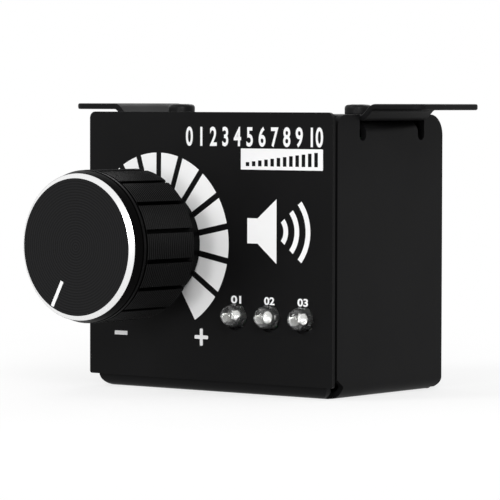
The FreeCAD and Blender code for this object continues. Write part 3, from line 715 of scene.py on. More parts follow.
@dataclass(frozen=True)
class TurnedFinish(Finish):
    """A finish with tool marks round the knob's axis.

    The pitch of the marks is in millimetres, their depth in microns, and shade is how strongly they
    are painted into the colour as light and dark rings, a painted sheen.
    """

    pitch: float = 0.2
    cut: float = 2.0
    shade: float = 0.0

    def marks(self, sheet: Sheet) -> Node:
        """Places the tool marks on a sheet.

        Args:
            sheet: Sheet of the material.

        Returns:
            The node of the marks.
        """
        x, z = KNOB_AXIS
        values = {"Centre X": x * MM, "Centre Z": z * MM, "Pitch": self.pitch * MM}
        return sheet.effect(Effects.rings(), values)

    def material(self) -> bpy.types.Material:
        """Makes the material, whose cuts may also be painted into its colour as a sheen of light and
        dark rings.

        Returns:
            The material.
        """
        sheet = self.sheet()
        inputs = sheet.shader.inputs
        marks = self.marks(sheet)
        under = inputs["Normal"].links[0].from_socket
        sheet.join(sheet.bump(marks.outputs["Height"], self.cut * MICRON, under), inputs["Normal"])
        sheet.swap(sheet.ranged(marks.outputs["Mask"], *self.roughness), inputs["Roughness"])
        # Painted sheen: the base colour is darkened and lightened ring by ring, for the light that the
        # turning marks catch.
        if self.shade:
            wave = sheet.add("ShaderNodeMapRange")
            wave.inputs["From Min"].default_value = -1.0
            sheet.join(marks.outputs["Height"], wave.inputs["Value"])
            tone = sheet.blend(wave.outputs[0], *self._tones(self.shade))
            sheet.swap(tone, inputs["Base Color"])
        return sheet.material


@dataclass(frozen=True)
class GripFinish(TurnedFinish):
    """A black finish with a painted highlight: the crests of the ridges are coloured lighter, for the
    light that they catch.

    The limits are the distances from the axis where the painted highlight starts and where it is full.
    """

    # Colour of the crests: a painted highlight.
    crest: Colour = (0.0135, 0.0135, 0.0138)
    limits: Spot = (9.93, 9.99)

    def material(self) -> bpy.types.Material:
        """Makes the material, with its colour from the distance to the axis: the lighter crests are a
        painted highlight.

        Returns:
            The material.
        """
        sheet = self.sheet()
        highlit = sheet.add("ShaderNodeMapRange")
        highlit.inputs["From Min"].default_value = self.limits[0] * MM
        highlit.inputs["From Max"].default_value = self.limits[1] * MM
        sheet.join(self.marks(sheet).outputs["Radius"], highlit.inputs["Value"])
        tone = sheet.blend(highlit.outputs[0], self.colour, self.crest)
        sheet.swap(tone, sheet.shader.inputs["Base Color"])
        return sheet.material


@dataclass(frozen=True)
class GlassFinish(Finish):
    """Clear moulded resin."""

    refraction: float = 1.5
    clearness: float = 0.975

    def material(self) -> bpy.types.Material:
        """Makes the material.

        Returns:
            The material.
        """
        sheet = self.sheet()
        sheet.shader.inputs["Transmission Weight"].default_value = self.clearness
        sheet.shader.inputs["IOR"].default_value = self.refraction
        return sheet.material


class Finishes:
    """All finishes of the model, each made once."""

    POWDER_COAT = Finish(
        "powder coat", (0.0056, 0.0056, 0.0059), 0.1, (0.42, 0.52), specular=0.06, depth=5.0
    )
    # Lighter colour for the panel's upper and right edge bevels: a painted highlight.
    PANEL_EDGE = Finish(
        "worn panel edge", (0.06, 0.06, 0.06), 0.2, (0.35, 0.45), specular=0.3, grain=0.2
    )
    PANEL_PAINT = Finish(
        "panel paint", (0.0048, 0.0048, 0.005), 0.08, (0.42, 0.5), specular=0.06, depth=1.5
    )
    SCREW_COAT = Finish(
        "screw coat", (0.006, 0.006, 0.0063), 0.2, (0.36, 0.46), specular=0.1, grain=0.25
    )
    WHITE_INK = Finish(
        "white ink", (0.88, 0.88, 0.88), 0.03, (0.45, 0.6), specular=0.3, grain=0.15, depth=2.0
    )
    # The grip's crests carry a painted highlight, lighter than the valleys.
    KNOB_BLACK = GripFinish(
        "black anodising", (0.0006, 0.0006, 0.0006), 0.12, (0.34, 0.42), specular=0.032,
        grain=0.1, depth=0.8,
    )
    # The face's turning marks are also painted into its colour as a sheen (shade).
    KNOB_FACE = TurnedFinish(
        "turned black face", (0.011, 0.011, 0.0115), 0.06, (0.34, 0.42), metallic=0.7, specular=0.15,
        grain=0.1, depth=0.4, pitch=0.36, cut=3.0, shade=0.3,
    )
    BRIGHT_BEVEL = TurnedFinish(
        "diamond-cut bevel", (0.86, 0.86, 0.86), 0.01, (0.2, 0.3), metallic=1.0, grain=0.4, depth=0.2,
        pitch=0.12, cut=0.4,
    )
    HUB_BLACK = Finish(
        "glossy black moulding", (0.0025, 0.0025, 0.0025), 0.1, (0.25, 0.33), specular=0.03
    )
    POINTER_WHITE = Finish("inlaid white", (0.9, 0.9, 0.9), 0.02, (0.4, 0.5), specular=0.3, grain=0.1)
    PLATED_STEEL = TurnedFinish("plated steel", (0.62, 0.61, 0.58), 0.08, (0.22, 0.36), metallic=1.0)
    ZINC = Finish(
        "die-cast zinc", (0.5, 0.5, 0.49), 0.1, (0.35, 0.5), metallic=1.0, grain=0.3, depth=4.0
    )
    POT_PLASTIC = Finish("black moulding", (0.02, 0.02, 0.021), 0.15, (0.45, 0.6), specular=0.4)
    PHENOLIC = Finish("phenolic sheet", (0.19, 0.085, 0.03), 0.25, (0.5, 0.65), grain=0.5, depth=6.0)
    BRASS = Finish("contact brass", (0.72, 0.5, 0.2), 0.08, (0.25, 0.38), metallic=1.0)
    BOARD = Finish(
        "board lacquer", (0.012, 0.11, 0.04), 0.2, (0.25, 0.4), coat=0.4, grain=0.8, patch=3.0
    )
    SOCKET = Finish(
        "socket moulding", (0.018, 0.018, 0.019), 0.12, (0.42, 0.55), specular=0.4, grain=0.5
    )
    TINNED = Finish("tinned copper", (0.75, 0.75, 0.73), 0.08, (0.2, 0.32), metallic=1.0)
    CERAMIC = Finish("ceramic chip", (0.03, 0.03, 0.032), 0.2, (0.3, 0.45))
    GOLD = Finish("gold flash", (0.9, 0.62, 0.2), 0.06, (0.16, 0.26), metallic=1.0)
    CLEAR = GlassFinish("clear resin", (0.97, 0.98, 0.98), 0.01, (0.02, 0.05), grain=0.6, depth=0.6)

    _made: dict[str, bpy.types.Material] = {}

    @classmethod
    def get(cls, finish: Finish) -> bpy.types.Material:
        """Gives the material of a finish, made at its first use.

        Args:
            finish: Finish to make or to fetch.

        Returns:
            The material.
        """
        if finish.name not in cls._made:
            cls._made[finish.name] = finish.material()
        return cls._made[finish.name]


def dress(piece: Piece, *finishes: Finish) -> None:
    """Puts finishes on a piece's slots, in order, after clearing them.

    Args:
        piece: Piece to dress.
        finishes: Finish of each slot.
    """
    piece.data.materials.clear()
    for finish in finishes:
        piece.data.materials.append(Finishes.get(finish))


def mount(piece: Piece, body: Body, slot: str, *nodes: str) -> Piece:
    """Gives a finished piece to its body and reports it.

    Args:
        piece: Finished piece.
        body: Body that it rides on.
        slot: Material slot of the record; not used.
        nodes: CAD nodes that it stands for.

    Returns:
        The same piece.
    """
    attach(piece, body.value)
    if nodes:
        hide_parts(*nodes)
    LOG.info("%s: %d faces on %s", piece.name, len(piece.data.polygons), body.value)
    return piece


@dataclass
class Enclosure:
    """Folded tray, cover with its ears, and the dial panel."""

    sheet_edge: float = 0.14
    ear_edge: float = 0.24
    panel_edge: float = 0.08
    lamp_hole_radius: float = 1.76
    lamp_hole_height: float = -28.02
    lamp_hole_sides: int = 64
    drill_reach: float = 1.0
    worn_from: Spot = (20.3, -1.3)
    worn_slope: Spot = (-0.97, -0.2)
    panel_foot: float = -36.5
    foot_round: float = 0.3

    def _panel(self) -> Piece:
        """Makes the dial panel, with wide lamp holes, painted face and a painted highlight on its upper
        and right front edges.

        Returns:
            The panel.
        """
        panel = Bench.copied("dial_panel", "front_panel")
        radius = self.lamp_hole_radius
        profile = [(radius, PANEL_FACE - self.drill_reach), (radius, PANEL_FACE + self.drill_reach)]
        drill = Bench.turned("drill", profile, (0, self.lamp_hole_height), self.lamp_hole_sides)
        for x in LAMP_PLACES:
            Bench.boolean(panel, Bench.repeated(drill, "lamp_drill", (x, 0, 0)))
        Bench.drop(drill)
        foot = self.panel_foot * MM
        Bench.pick_edges(panel, lambda first, second: Bench.runs_back(first, second) and first.z < foot)
        bpy.ops.mesh.bevel(offset=self.foot_round * MM, segments=3)
        bpy.ops.object.mode_set(mode="OBJECT")
        Bench.eased(panel, self.panel_edge)
        dress(panel, Finishes.PANEL_PAINT, Finishes.PANEL_EDGE)
        # Painted highlight: edge faces on the right and top that face up or to the right take the
        # lighter edge finish, for the light that they catch.
        steep, shallow = self.worn_slope
        for polygon in panel.data.polygons:
            place = polygon.center / MM
            outer = place.x > self.worn_from[0] or place.z > self.worn_from[1]
            if outer and steep < polygon.normal.y < shallow:
                polygon.material_index = 1
        return panel

    def build(self) -> None:
        """Rounds the edges of the three sheet pieces and coats them."""
        tray = Bench.eased(Bench.copied("coated_tray", "base_tray"), self.sheet_edge)
        cover = Bench.copied("coated_cover", "top_cover")
        Bench.eased(cover, self.ear_edge, segments=3, clamp=False)
        panel = self._panel()
        dress(tray, Finishes.POWDER_COAT)
        dress(cover, Finishes.POWDER_COAT)
        mount(tray, Body.BOX, "black_powder_coat", "base_tray")
        mount(cover, Body.BOX, "black_powder_coat", "top_cover")
        mount(panel, Body.BOX, "panel_black", "front_panel")


@dataclass
class CoverScrews:
    """Two pan-headed screws with cross recesses."""

    x: float = 15.0
    y: float = -0.9
    seat: float = -1.4
    head_radius: float = 1.8
    head_height: float = 1.35
    head_round: float = 0.5
    head_steps: tuple[int, ...] = (0, 20, 40, 60, 80)
    head_sag: float = 0.06
    head_foot: Spot = (0.08, 0.1)
    crown_share: float = 0.6
    crown_drop: float = 0.01
    shank_radius: float = 1.1
    point_share: float = 0.7
    point_length: float = 0.5
    length: float = 3.6
    recess: Point = (2.1, 0.46, 0.8)
    turns: Spot = (24.0, 61.0)
    sides: int = 48

    def _screw(self) -> Piece:
        """Makes a screw without its recess, on the upright axis of the origin.

        Returns:
            The screw.
        """
        top = self.seat + self.head_height
        foot = self.seat - self.length
        inward, upward = self.head_foot
        profile = [
            (self.shank_radius * self.point_share, foot),
            (self.shank_radius, foot + self.point_length),
            (self.shank_radius, self.seat),
            (self.head_radius - inward, self.seat),
            (self.head_radius, self.seat + upward),
        ]
        flat = self.head_radius - self.head_round
        shoulder = top - self.head_round
        rise = self.head_round - self.head_sag
        for step in self.head_steps:
            angle = math.radians(step)
            profile.append((flat + self.head_round * math.cos(angle), shoulder + rise * math.sin(angle)))
        profile.append((flat * self.crown_share, top - self.crown_drop))
        return Bench.turned("screw", profile, (0, 0), self.sides, Axis.HEIGHT)

    def _cross(self) -> Piece:
        """Makes the cross that cuts the recess.

        Returns:
            The cross, over the origin.
        """
        length, width, depth = self.recess
        centre = (0, 0, self.seat + self.head_height)
        first = Bench.bar("recess", centre, (length, width, 2 * depth))
        second = Bench.bar("recess", centre, (width, length, 2 * depth))
        return Bench.boolean(first, second, "UNION")

    def build(self) -> None:
        """Makes the pair as one piece."""
        screw, cross = self._screw(), self._cross()
        pair = []
        for side, turn in zip((-1, 1), self.turns):
            place = (side * self.x, self.y, 0)
            whole = Bench.repeated(screw, "whole_screw", place)
            pair.append(Bench.boolean(whole, Bench.repeated(cross, "recess", place, turn)))
        Bench.drop(screw, cross)
        screws = Bench.tidy(Bench.joined("cover_screw_pair", pair))
        dress(screws, Finishes.SCREW_COAT)
        mount(screws, Body.BOX, "screw_black", "cover_screws")


@dataclass
class Knob:
    """Turned knob with its bright bevel, ridged grip, moulded hub and pointer.

    Each step of a shoulder gives how far its ring lies inside the radius of the grip, and its
    place along the axis from the start of the shoulder.
    """

    face: float = -31.2
    face_radius: float = 8.94
    bevel_radius: float = 9.545
    bevel_depth: float = 0.5
    bevel_back: Spot = (0.05, 0.08)
    grip_radius: float = 10.0
    grip_front: float = -28.8
    groove: float = 0.3
    grip_back: float = -18.9
    bore_radius: float = 7.47
    face_thickness: float = 1.6
    rim_width: float = 0.5
    rim_steps: tuple[Spot, ...] = ((0.12, -0.18), (0.3, -0.14), (0.3, -0.04), (0.08, 0.0), (0.03, 0.08))
    neck_steps: tuple[Spot, ...] = ((0.03, -0.08), (0.1, 0.0), (0.3, 0.0))
    grip_steps: tuple[Spot, ...] = ((0.3, -0.06), (0.07, -0.03), (0.0, 0.05))
    back_steps: tuple[Spot, ...] = ((0.2, -0.06), (0.3, 0.0))
    ridges: int = 24
    ridge_pitch: float = 0.385
    ridge_crest: float = 0.12
    ridge_depth: float = 0.16
    slots: int = 16
    slot_turn: float = 5.0
    slot_width: float = 0.6
    slot_depth: float = 0.8
    slot_tool: float = 1.5
    slot_overrun: float = 1.0
    pointer_turn: float = 207.5
    pointer_reach: Spot = (5.1, 8.82)
    pointer_width: float = 0.55
    pointer_groove: float = 0.5
    pointer_thickness: float = 0.27
    pointer_depth: float = 0.115
    pointer_edge: float = 0.06
    hub_edge: float = 0.12
    face_slope: float = -0.95
    face_limit: float = 0.02
    sides: int = 240
    smooth_angle: float = 28.0

    @staticmethod
    def _away(distance: float, turn: float, depth: float) -> Point:
        """Gives the point at a distance from the axis, in a direction as the panel is read.

        Args:
            distance: Distance from the axis.
            turn: Direction in degrees.
            depth: Depth of the point.

        Returns:
            The point.
        """
        angle = math.radians(turn)
        x, z = KNOB_AXIS
        return (x + distance * math.sin(angle), depth, z + distance * math.cos(angle))

    def _profile(self) -> list[Spot]:
        """Gives the outline of the shell from its face to the floor of its bore.

        Returns:
            Radius and place of each ring.
        """
        bevel_end = self.face + self.bevel_depth
        outward, along = self.bevel_back
        rings = [
            (self.face_radius, self.face),
            (self.bevel_radius, bevel_end),
            (self.bevel_radius + outward, bevel_end + along),
        ]
        rings += self._shoulder(self.grip_front - self.rim_width, self.rim_steps)
        rings += self._shoulder(self.grip_front, self.neck_steps)
        rings += self._shoulder(self.grip_front + self.groove, self.grip_steps)
        start = rings[-1][1]
        wall = (self.ridge_pitch - self.ridge_crest) / 2
        for index in range(self.ridges):
            crest = start + index * self.ridge_pitch
            rings.append((self.grip_radius, crest + self.ridge_crest))
            rings.append((self.grip_radius - self.ridge_depth, crest + self.ridge_crest + wall))
            rings.append((self.grip_radius, crest + self.ridge_pitch))
        rings += self._shoulder(self.grip_back, self.back_steps)
        rings.append((self.bore_radius, self.grip_back))
        rings.append((self.bore_radius, self.face + self.face_thickness))
        return rings

    def _shoulder(self, start: float, steps: Sequence[Spot]) -> list[Spot]:
        """Gives the rings of a shoulder of the shell."""
        return [(self.grip_radius - inward, start + along) for inward, along in steps]

    def _shell(self) -> Piece:
        """Turns the shell and cuts its slots and the groove of the pointer.

        Returns:
            The shell.
        """
        shell = Bench.turned("knob_cap", self._profile(), KNOB_AXIS, self.sides)
        start = self.grip_front + self.groove
        end = self.grip_back + self.slot_overrun
        size = (self.slot_width, end - start, self.slot_tool)
        distance = self.grip_radius - self.slot_depth + self.slot_tool / 2
        cutters = []
        for index in range(self.slots):
            turn = self.pointer_turn + self.slot_turn + index * 360 / self.slots
            place = self._away(distance, turn, (start + end) / 2)
            cutters.append(Bench.bar("slot", place, size, turn))
        cutters.append(self._along_pointer("pointer_groove", self.pointer_groove, self.face))
        Bench.boolean(shell, Bench.joined("cutters", cutters))
        return Bench.tidy(shell, self.smooth_angle)

    def _along_pointer(self, name: str, thickness: float, depth: float) -> Piece:
        """Adds a bar in the place of the pointer.

        Args:
            name: Name of the bar.
            thickness: Thickness from front to back.
            depth: Depth of its middle.

        Returns:
            The bar.
        """
        inner, outer = self.pointer_reach
        place = self._away((inner + outer) / 2, self.pointer_turn, depth)
        size = (self.pointer_width, thickness, outer - inner)
        return Bench.bar(name, place, size, self.pointer_turn)

    def _faces(self, shell: Piece) -> None:
        """Gives the face and the bevel their own slots of finish.

        Args:
            shell: Shell of the knob.
        """
        axis = Vector((KNOB_AXIS[0] * MM, 0, KNOB_AXIS[1] * MM))
        for polygon in shell.data.polygons:
            middle = polygon.center - axis
            depth = middle.y / MM - self.face
            radius = math.hypot(middle.x, middle.z) / MM
            if polygon.normal.y < self.face_slope and depth < self.face_limit:
                polygon.material_index = 1
            elif self.face_limit < depth < self.bevel_depth and radius > self.face_radius:
                polygon.material_index = 2

    def build(self) -> None:
        """Makes the cap, the hub and the pointer."""
        shell = self._shell()
        dress(shell, Finishes.KNOB_BLACK, Finishes.KNOB_FACE, Finishes.BRIGHT_BEVEL)
        self._faces(shell)
        mount(shell, Body.KNOB, "knob_aluminium", "knob_shell")
        hub = Bench.eased(Bench.copied("knob_hub", "knob_core"), self.hub_edge)
        dress(hub, Finishes.HUB_BLACK)
        mount(hub, Body.KNOB, "core_plastic", "knob_core")
        depth = self.face + self.pointer_depth
        pointer = self._along_pointer("pointer_line", self.pointer_thickness, depth)
        Bench.eased(pointer, self.pointer_edge, angle=30.0, segments=3)
        dress(pointer, Finishes.POINTER_WHITE)
        mount(pointer, Body.KNOB, "pointer_white", "knob_pointer")


@dataclass
class DialPrint:
    """White print of the panel: dial ring, marks, numbers, level bars and a loudspeaker sign.

    Places are millimetres from the knob's axis, to the right and up. A mark has its place, its
    length and its stroke. The title and the plate have their left, right, lower and upper limits.
    """

    proud: float = 0.02
    sunk: float = 0.02
    ring_shift: Spot = (-0.37, 0.11)
    ring_outer: float = 11.95
    ring_inner: float = 6.4
    ring_sides: int = 200
    hole_sides: int = 120
    foot_turn: float = 181.6
    foot_half: float = 33.4
    gap: float = 0.83
    first_gap: float = 123.75
    first_step: float = 23.12
    step_loss: float = 1.02
    least_step: float = 7.0
    gaps: int = 19
    tool_depth: float = 3.0
    minus: tuple[float, float, float, float] = (-6.86, -12.3, 2.24, 0.55)
    plus: tuple[float, float, float, float] = (7.0, -12.3, 2.27, 0.5)
    mark_corner: float = 0.14
    title: tuple[float, float, float, float] = (4.35, 27.0, 12.97, 15.6)
    title_weight: float = 0.022
    plate: tuple[float, float, float, float] = (13.6, 27.0, 10.0, 12.75)
    plate_corner: float = 0.1
    plate_margin: Spot = (0.6, 0.45)
    bars: int = 12
    bar_share: float = 0.58
    least_bar: float = 0.22
    sign: Spot = (19.7, 2.0)
    magnet: Point = (-4.15, 1.7, 3.3)
    horn: Point = (-1.75, 3.1, 3.3)
    horn_flare: float = 2.55
    arcs: Point = (2.6, 4.4, 6.2)
    arc_width: float = 0.75
    arc_shift: float = -0.9
    arc_reach: float = 9.0
    arc_half: float = 40.0
    lamp_numbers: Point = (12.85, 18.35, 23.8)
    lamp_number_span: Spot = (-7.62, -6.58)
    lamp_number_half: float = 0.85
    lamp_number_weight: float = 0.03
    word_space: float = 1.2
    type_depth: float = 0.3
    type_steps: int = 6

    @staticmethod
    def _spot(right: float, up: float) -> Spot:
        """Gives the place in the frame of a point that is given from the knob's axis."""
        return (KNOB_AXIS[0] + right, KNOB_AXIS[1] + up)

    def _lay(self, piece: Piece) -> None:
        """Flattens a piece onto the panel, inks it and gives it to the box.

        Args:
            piece: Piece of print, about zero depth.
        """
        low = min(vertex.co.y for vertex in piece.data.vertices)
        high = max(vertex.co.y for vertex in piece.data.vertices)
        thin = (self.proud + self.sunk) * MM / (high - low)
        front = (PANEL_FACE - self.proud) * MM
        Bench.fitted(piece, (1, thin, 1), (0, low, 0), (0, front - low, 0))
        Bench.tidy(piece)
        dress(piece, Finishes.WHITE_INK)
        mount(piece, Body.BOX, "panel_black")

    def _annulus(self, name: str, outer: float, inner: float, centre: Spot) -> Piece:
        """Makes a flat ring, one millimetre thick.

        Args:
            name: Name of the ring.
            outer: Outer radius.
            inner: Inner radius.
            centre: X and Z of its middle.

        Returns:
            The ring.
        """
        ring = Bench.turned(name, [(outer, -0.5), (outer, 0.5)], centre, self.ring_sides)
        hole = Bench.turned("hole", [(inner, -1.0), (inner, 1.0)], centre, self.hole_sides)
        return Bench.boolean(ring, hole)

    def _ring(self) -> Piece:
        """Makes the dial ring, cut into fields that grow clockwise.

        Returns:
            The ring.
        """
        x, z = self._spot(*self.ring_shift)
        ring = self._annulus("dial_ring", self.ring_outer, self.ring_inner, (x, z))
        foot = Bench.wedge("open_foot", (x, z), 2 * self.ring_outer, self.foot_turn, self.foot_half)
        ring = Bench.boolean(ring, foot)
        size = (self.gap, self.tool_depth, 2 * self.ring_outer - 2)
        cutters = []
        turn, step = self.first_gap, self.first_step
        for _ in range(self.gaps):
            angle = math.radians(turn)
            place = (x + self.ring_outer * math.sin(angle), 0, z + self.ring_outer * math.cos(angle))
            cutters.append(Bench.bar("gap", place, size, turn))
            turn -= step
            step = max(self.least_step, step - self.step_loss)
        return Bench.boolean(ring, Bench.joined("gaps", cutters))

    def _stroke(self, name: str, middle: Spot, size: Spot, corner: float) -> Piece:
        """Makes a straight stroke with rounded corners.

        Args:
            name: Name of the stroke.
            middle: Its middle from the knob's axis.
            size: Its width and height.
            corner: Radius of its corners.

        Returns:
            The stroke.
        """
        x, z = self._spot(*middle)
        stroke = Bench.bar(name, (x, 0, z), (size[0], 1, size[1]))
        Bench.pick_edges(stroke, Bench.runs_back)
        bpy.ops.mesh.bevel(offset=corner * MM, segments=4)
        bpy.ops.object.mode_set(mode="OBJECT")
        return stroke

    def _numbers(self, name: str, text: str, box: Sequence[float], weight: float) -> Piece:
        """Sets bold numbers that fill a box.

        Args:
            name: Name of the piece.
            text: Numbers to set.
            box: Left, right, lower and upper limits from the knob's axis.
            weight: How far the strokes are fattened, as a share of the type's size.

        Returns:
            The numbers as one mesh.
        """
        Bench.clear()
        bpy.ops.object.text_add(rotation=(math.radians(90), 0, 0))
        line = bpy.context.object
        line.data.body = text
        line.data.extrude = self.type_depth
        line.data.offset = weight
        line.data.resolution_u = self.type_steps
        line.data.space_word = self.word_space
        bpy.ops.object.convert(target="MESH")
        piece = Bench.named(name)
        xs = [vertex.co.x for vertex in piece.data.vertices]
        zs = [vertex.co.z for vertex in piece.data.vertices]
        left, right, low, high = box
        x, z = self._spot(left, low)
        wide = (right - left) * MM / (max(xs) - min(xs))
        tall = (high - low) * MM / (max(zs) - min(zs))
        corner = (min(xs), 0, min(zs))
        shift = (x * MM - corner[0], 0, z * MM - corner[2])
        return Bench.fitted(piece, (wide, MM, tall), corner, shift)

    def _marks(self) -> tuple[Piece, Piece]:
        """Makes the minus and the plus.

        Returns:
            Both marks.
        """
        right, up, length, stroke = self.minus
        minus = self._stroke("minus_mark", (right, up), (length, stroke), self.mark_corner)
        right, up, length, stroke = self.plus
        upright = self._stroke("upright", (right, up), (stroke, length), self.mark_corner)
        level = self._stroke("plus_mark", (right, up), (length, stroke), self.mark_corner)
        return minus, Bench.boolean(level, upright, "UNION")

    def _plate(self) -> Piece:
        """Makes a white field with dark bars that rise from left to right.

        Returns:
            The field.
        """
        left, right, low, high = self.plate
        middle = ((left + right) / 2, (low + high) / 2)
        size = (right - left, high - low)
        plate = self._stroke("level_field", middle, size, self.plate_corner)
        side, foot = self.plate_margin
        pitch = (size[0] - 2 * side) / self.bars
        cutters = []
        for index in range(self.bars):
            rise = self.least_bar + (1 - self.least_bar) * (index + 1) / self.bars
            height = (size[1] - 2 * foot) * rise
            x, z = self._spot(left + side + (index + 0.5) * pitch, low + foot + height / 2)
            bar = (pitch * self.bar_share, self.tool_depth, height)
            cutters.append(Bench.bar("level_bar", (x, 0, z), bar))
        return Bench.boolean(plate, Bench.joined("level_bars", cutters))

    def _driver(self, x: float, z: float) -> Piece:
        """Makes the magnet and the flared horn of the loudspeaker sign.

        Args:
            x: X of the sign's middle.
            z: Z of the sign's middle.

        Returns:
            The two as one piece.
        """
        shift, width, height = self.magnet
        magnet = Bench.bar("magnet", (x + shift, 0, z), (width, 1, height))
        shift, width, height = self.horn
        horn = Bench.bar("horn", (x + shift, 0, z), (width, 1, height))
        middle = (x + shift) * MM
        Bench.pick_edges(horn, lambda first, second: min(first.x, second.x) > middle)
        flare = (1, 1, self.horn_flare)
        bpy.ops.transform.resize(value=flare, center_override=(x * MM, 0, z * MM))
        bpy.ops.object.mode_set(mode="OBJECT")
        return Bench.boolean(magnet, horn, "UNION")

    def _sign(self) -> Piece:
        """Makes a plain loudspeaker sign: a driver and three sound arcs.

        Returns:
            The sign.
        """
        x, z = self._spot(*self.sign)
        parts = [self._driver(x, z)]
        centre = (x + self.arc_shift, z)
        for reach in self.arcs:
            arc = self._annulus("sound_arc", reach, reach - self.arc_width, centre)
            sector = Bench.wedge("sector", centre, self.arc_reach, 90, self.arc_half)
            parts.append(Bench.boolean(arc, sector, "INTERSECT"))
        return Bench.joined("loudspeaker_sign", parts)

    def build(self) -> None:
        """Makes every field of the print."""
        self._lay(self._ring())
        for mark in self._marks():
            self._lay(mark)
        scale = " ".join(str(number) for number in range(11))
        self._lay(self._numbers("scale_numbers", scale, self.title, self.title_weight))
        self._lay(self._plate())
        self._lay(self._sign())
        for index, place in enumerate(self.lamp_numbers, 1):
            box = (place - self.lamp_number_half, place + self.lamp_number_half, *self.lamp_number_span)
            number = self._numbers(f"lamp_number_{index}", f"0{index}", box, self.lamp_number_weight)
            self._lay(number)


@dataclass
class IndicatorLamps:
    """Three clear lamps, each with a reflector cup on its lead frame."""

    height: float = -27.8
    tip: float = -16.25
    back: float = -10.95
    radius: float = 1.5
    dome_steps: tuple[int, ...] = (6, 14, 23, 32, 41, 50, 59, 68, 76, 83, 90)
    rim_radius: float = 1.9
    rim_thickness: float = 1.0
    rim_fillet: float = 0.08
    rim_edge: float = 0.1
    cup_radius: float = 0.62
    cup_wall: float = 0.08
    cup_shifts: Point = (0.78, 0.4, 0.72)
    cup_front: float = -14.75
    cup_floor: Spot = (0.12, 0.3)
    cup_foot: float = 0.1
    anvil_front: float = -14.25
    anvil_sunk: float = 0.05
    lens_sides: int = 64
    cup_sides: int = 40

    def _lens(self) -> Piece:
        """Makes a domed lens with its rim.

        Returns:
            The lens, at X = 0.
        """
        profile = []
        for step in self.dome_steps:
            angle = math.radians(step)
            place = self.tip + self.radius * (1 - math.cos(angle))
            profile.append((self.radius * math.sin(angle), place))
        front = self.back - self.rim_thickness
        profile += [
            (self.radius, front - self.rim_edge),
            (self.radius + self.rim_fillet, front),
            (self.rim_radius - self.rim_edge, front),
            (self.rim_radius, front + self.rim_edge),
            (self.rim_radius, self.back),
        ]
        return Bench.turned("lamp_dome", profile, (0, self.height), self.lens_sides)

    def _cup(self) -> Piece:
        """Makes a reflector cup that stands on the anvil of the lead frame.

        Returns:
            The cup, at X = 0.
        """
        floor_radius, floor_depth = self.cup_floor
        profile = [
            (floor_radius, self.cup_front + floor_depth),
            (self.cup_radius - self.cup_wall, self.cup_front),
            (self.cup_radius, self.cup_front),
            (self.cup_radius, self.anvil_front - self.anvil_sunk),
            (self.cup_radius - self.cup_foot, self.anvil_front + self.cup_foot),
        ]
        return Bench.turned("lamp_cup", profile, (0, self.height), self.cup_sides)

    def build(self) -> None:
        """Makes the three lamps."""
        lens, cup = self._lens(), self._cup()
        for index, (x, shift) in enumerate(zip(LAMP_PLACES, self.cup_shifts), 1):
            dome = Bench.repeated(lens, f"lamp_dome_{index}", (x, 0, 0))
            dress(dome, Finishes.CLEAR)
            mount(dome, Body.BOX, "lamp_clear", f"lamp_lens_{index}")
            reflector = Bench.repeated(cup, f"lamp_cup_{index}", (x + shift, 0, 0))
            dress(reflector, Finishes.TINNED)
            mount(reflector, Body.BOX, "tinned_copper")
        Bench.drop(lens, cup)


@dataclass
class Works:
    """CAD nodes that stay as they are and only get a finish."""

    def build(self) -> None:
        """Dresses every CAD node by the start of its name."""
        table = {
            ("base_tray", "top_cover"): Finishes.POWDER_COAT,
            ("cover_screws",): Finishes.SCREW_COAT,
            ("front_panel",): Finishes.PANEL_PAINT,
            ("knob_shell",): Finishes.KNOB_BLACK,
            ("knob_core",): Finishes.HUB_BLACK,
            ("knob_pointer",): Finishes.POINTER_WHITE,
            ("pot_shaft", "pot_nut", "pot_washer", "pot_can"): Finishes.PLATED_STEEL,
            ("pot_bushing",): Finishes.ZINC,
            ("pot_housing", "pot_rotor", "lamp_spacer"): Finishes.POT_PLASTIC,
            ("pot_wafer",): Finishes.PHENOLIC,
            ("pot_wiper", "pot_terminal"): Finishes.BRASS,
            ("circuit_board",): Finishes.BOARD,
            ("jack_housing",): Finishes.SOCKET,
            ("jack_contact",): Finishes.GOLD,
            ("lamp_lens",): Finishes.CLEAR,
            ("lamp_leads",): Finishes.TINNED,
            ("resistor",): Finishes.CERAMIC,
        }
        for name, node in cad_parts.items():
            finish = next(value for starts, value in table.items() if name.startswith(starts))
            slots = node.data.materials
            if not slots:
                slots.append(None)
            for index in range(len(slots)):
                slots[index] = Finishes.get(finish)
        LOG.info("dressed %d nodes", len(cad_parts))


@dataclass(frozen=True)
class SoftLight:
    """Square soft light, with its place and size in metres and its power in watts."""

    name: str
    place: Point
    size: float
    power: float

    def add(self, target: Point) -> None:
        """Adds the light, turned to a target.

        Args:
            target: Point that it faces, in metres.
        """
        data = bpy.data.lights.new(self.name, "AREA")
        data.size = self.size
        data.energy = self.power
        light = bpy.data.objects.new(self.name, data)
        bpy.context.scene.collection.objects.link(light)
        light.location = self.place
        aim = Vector(target) - Vector(self.place)
        light.rotation_euler = aim.to_track_quat("-Z", "Y").to_euler()


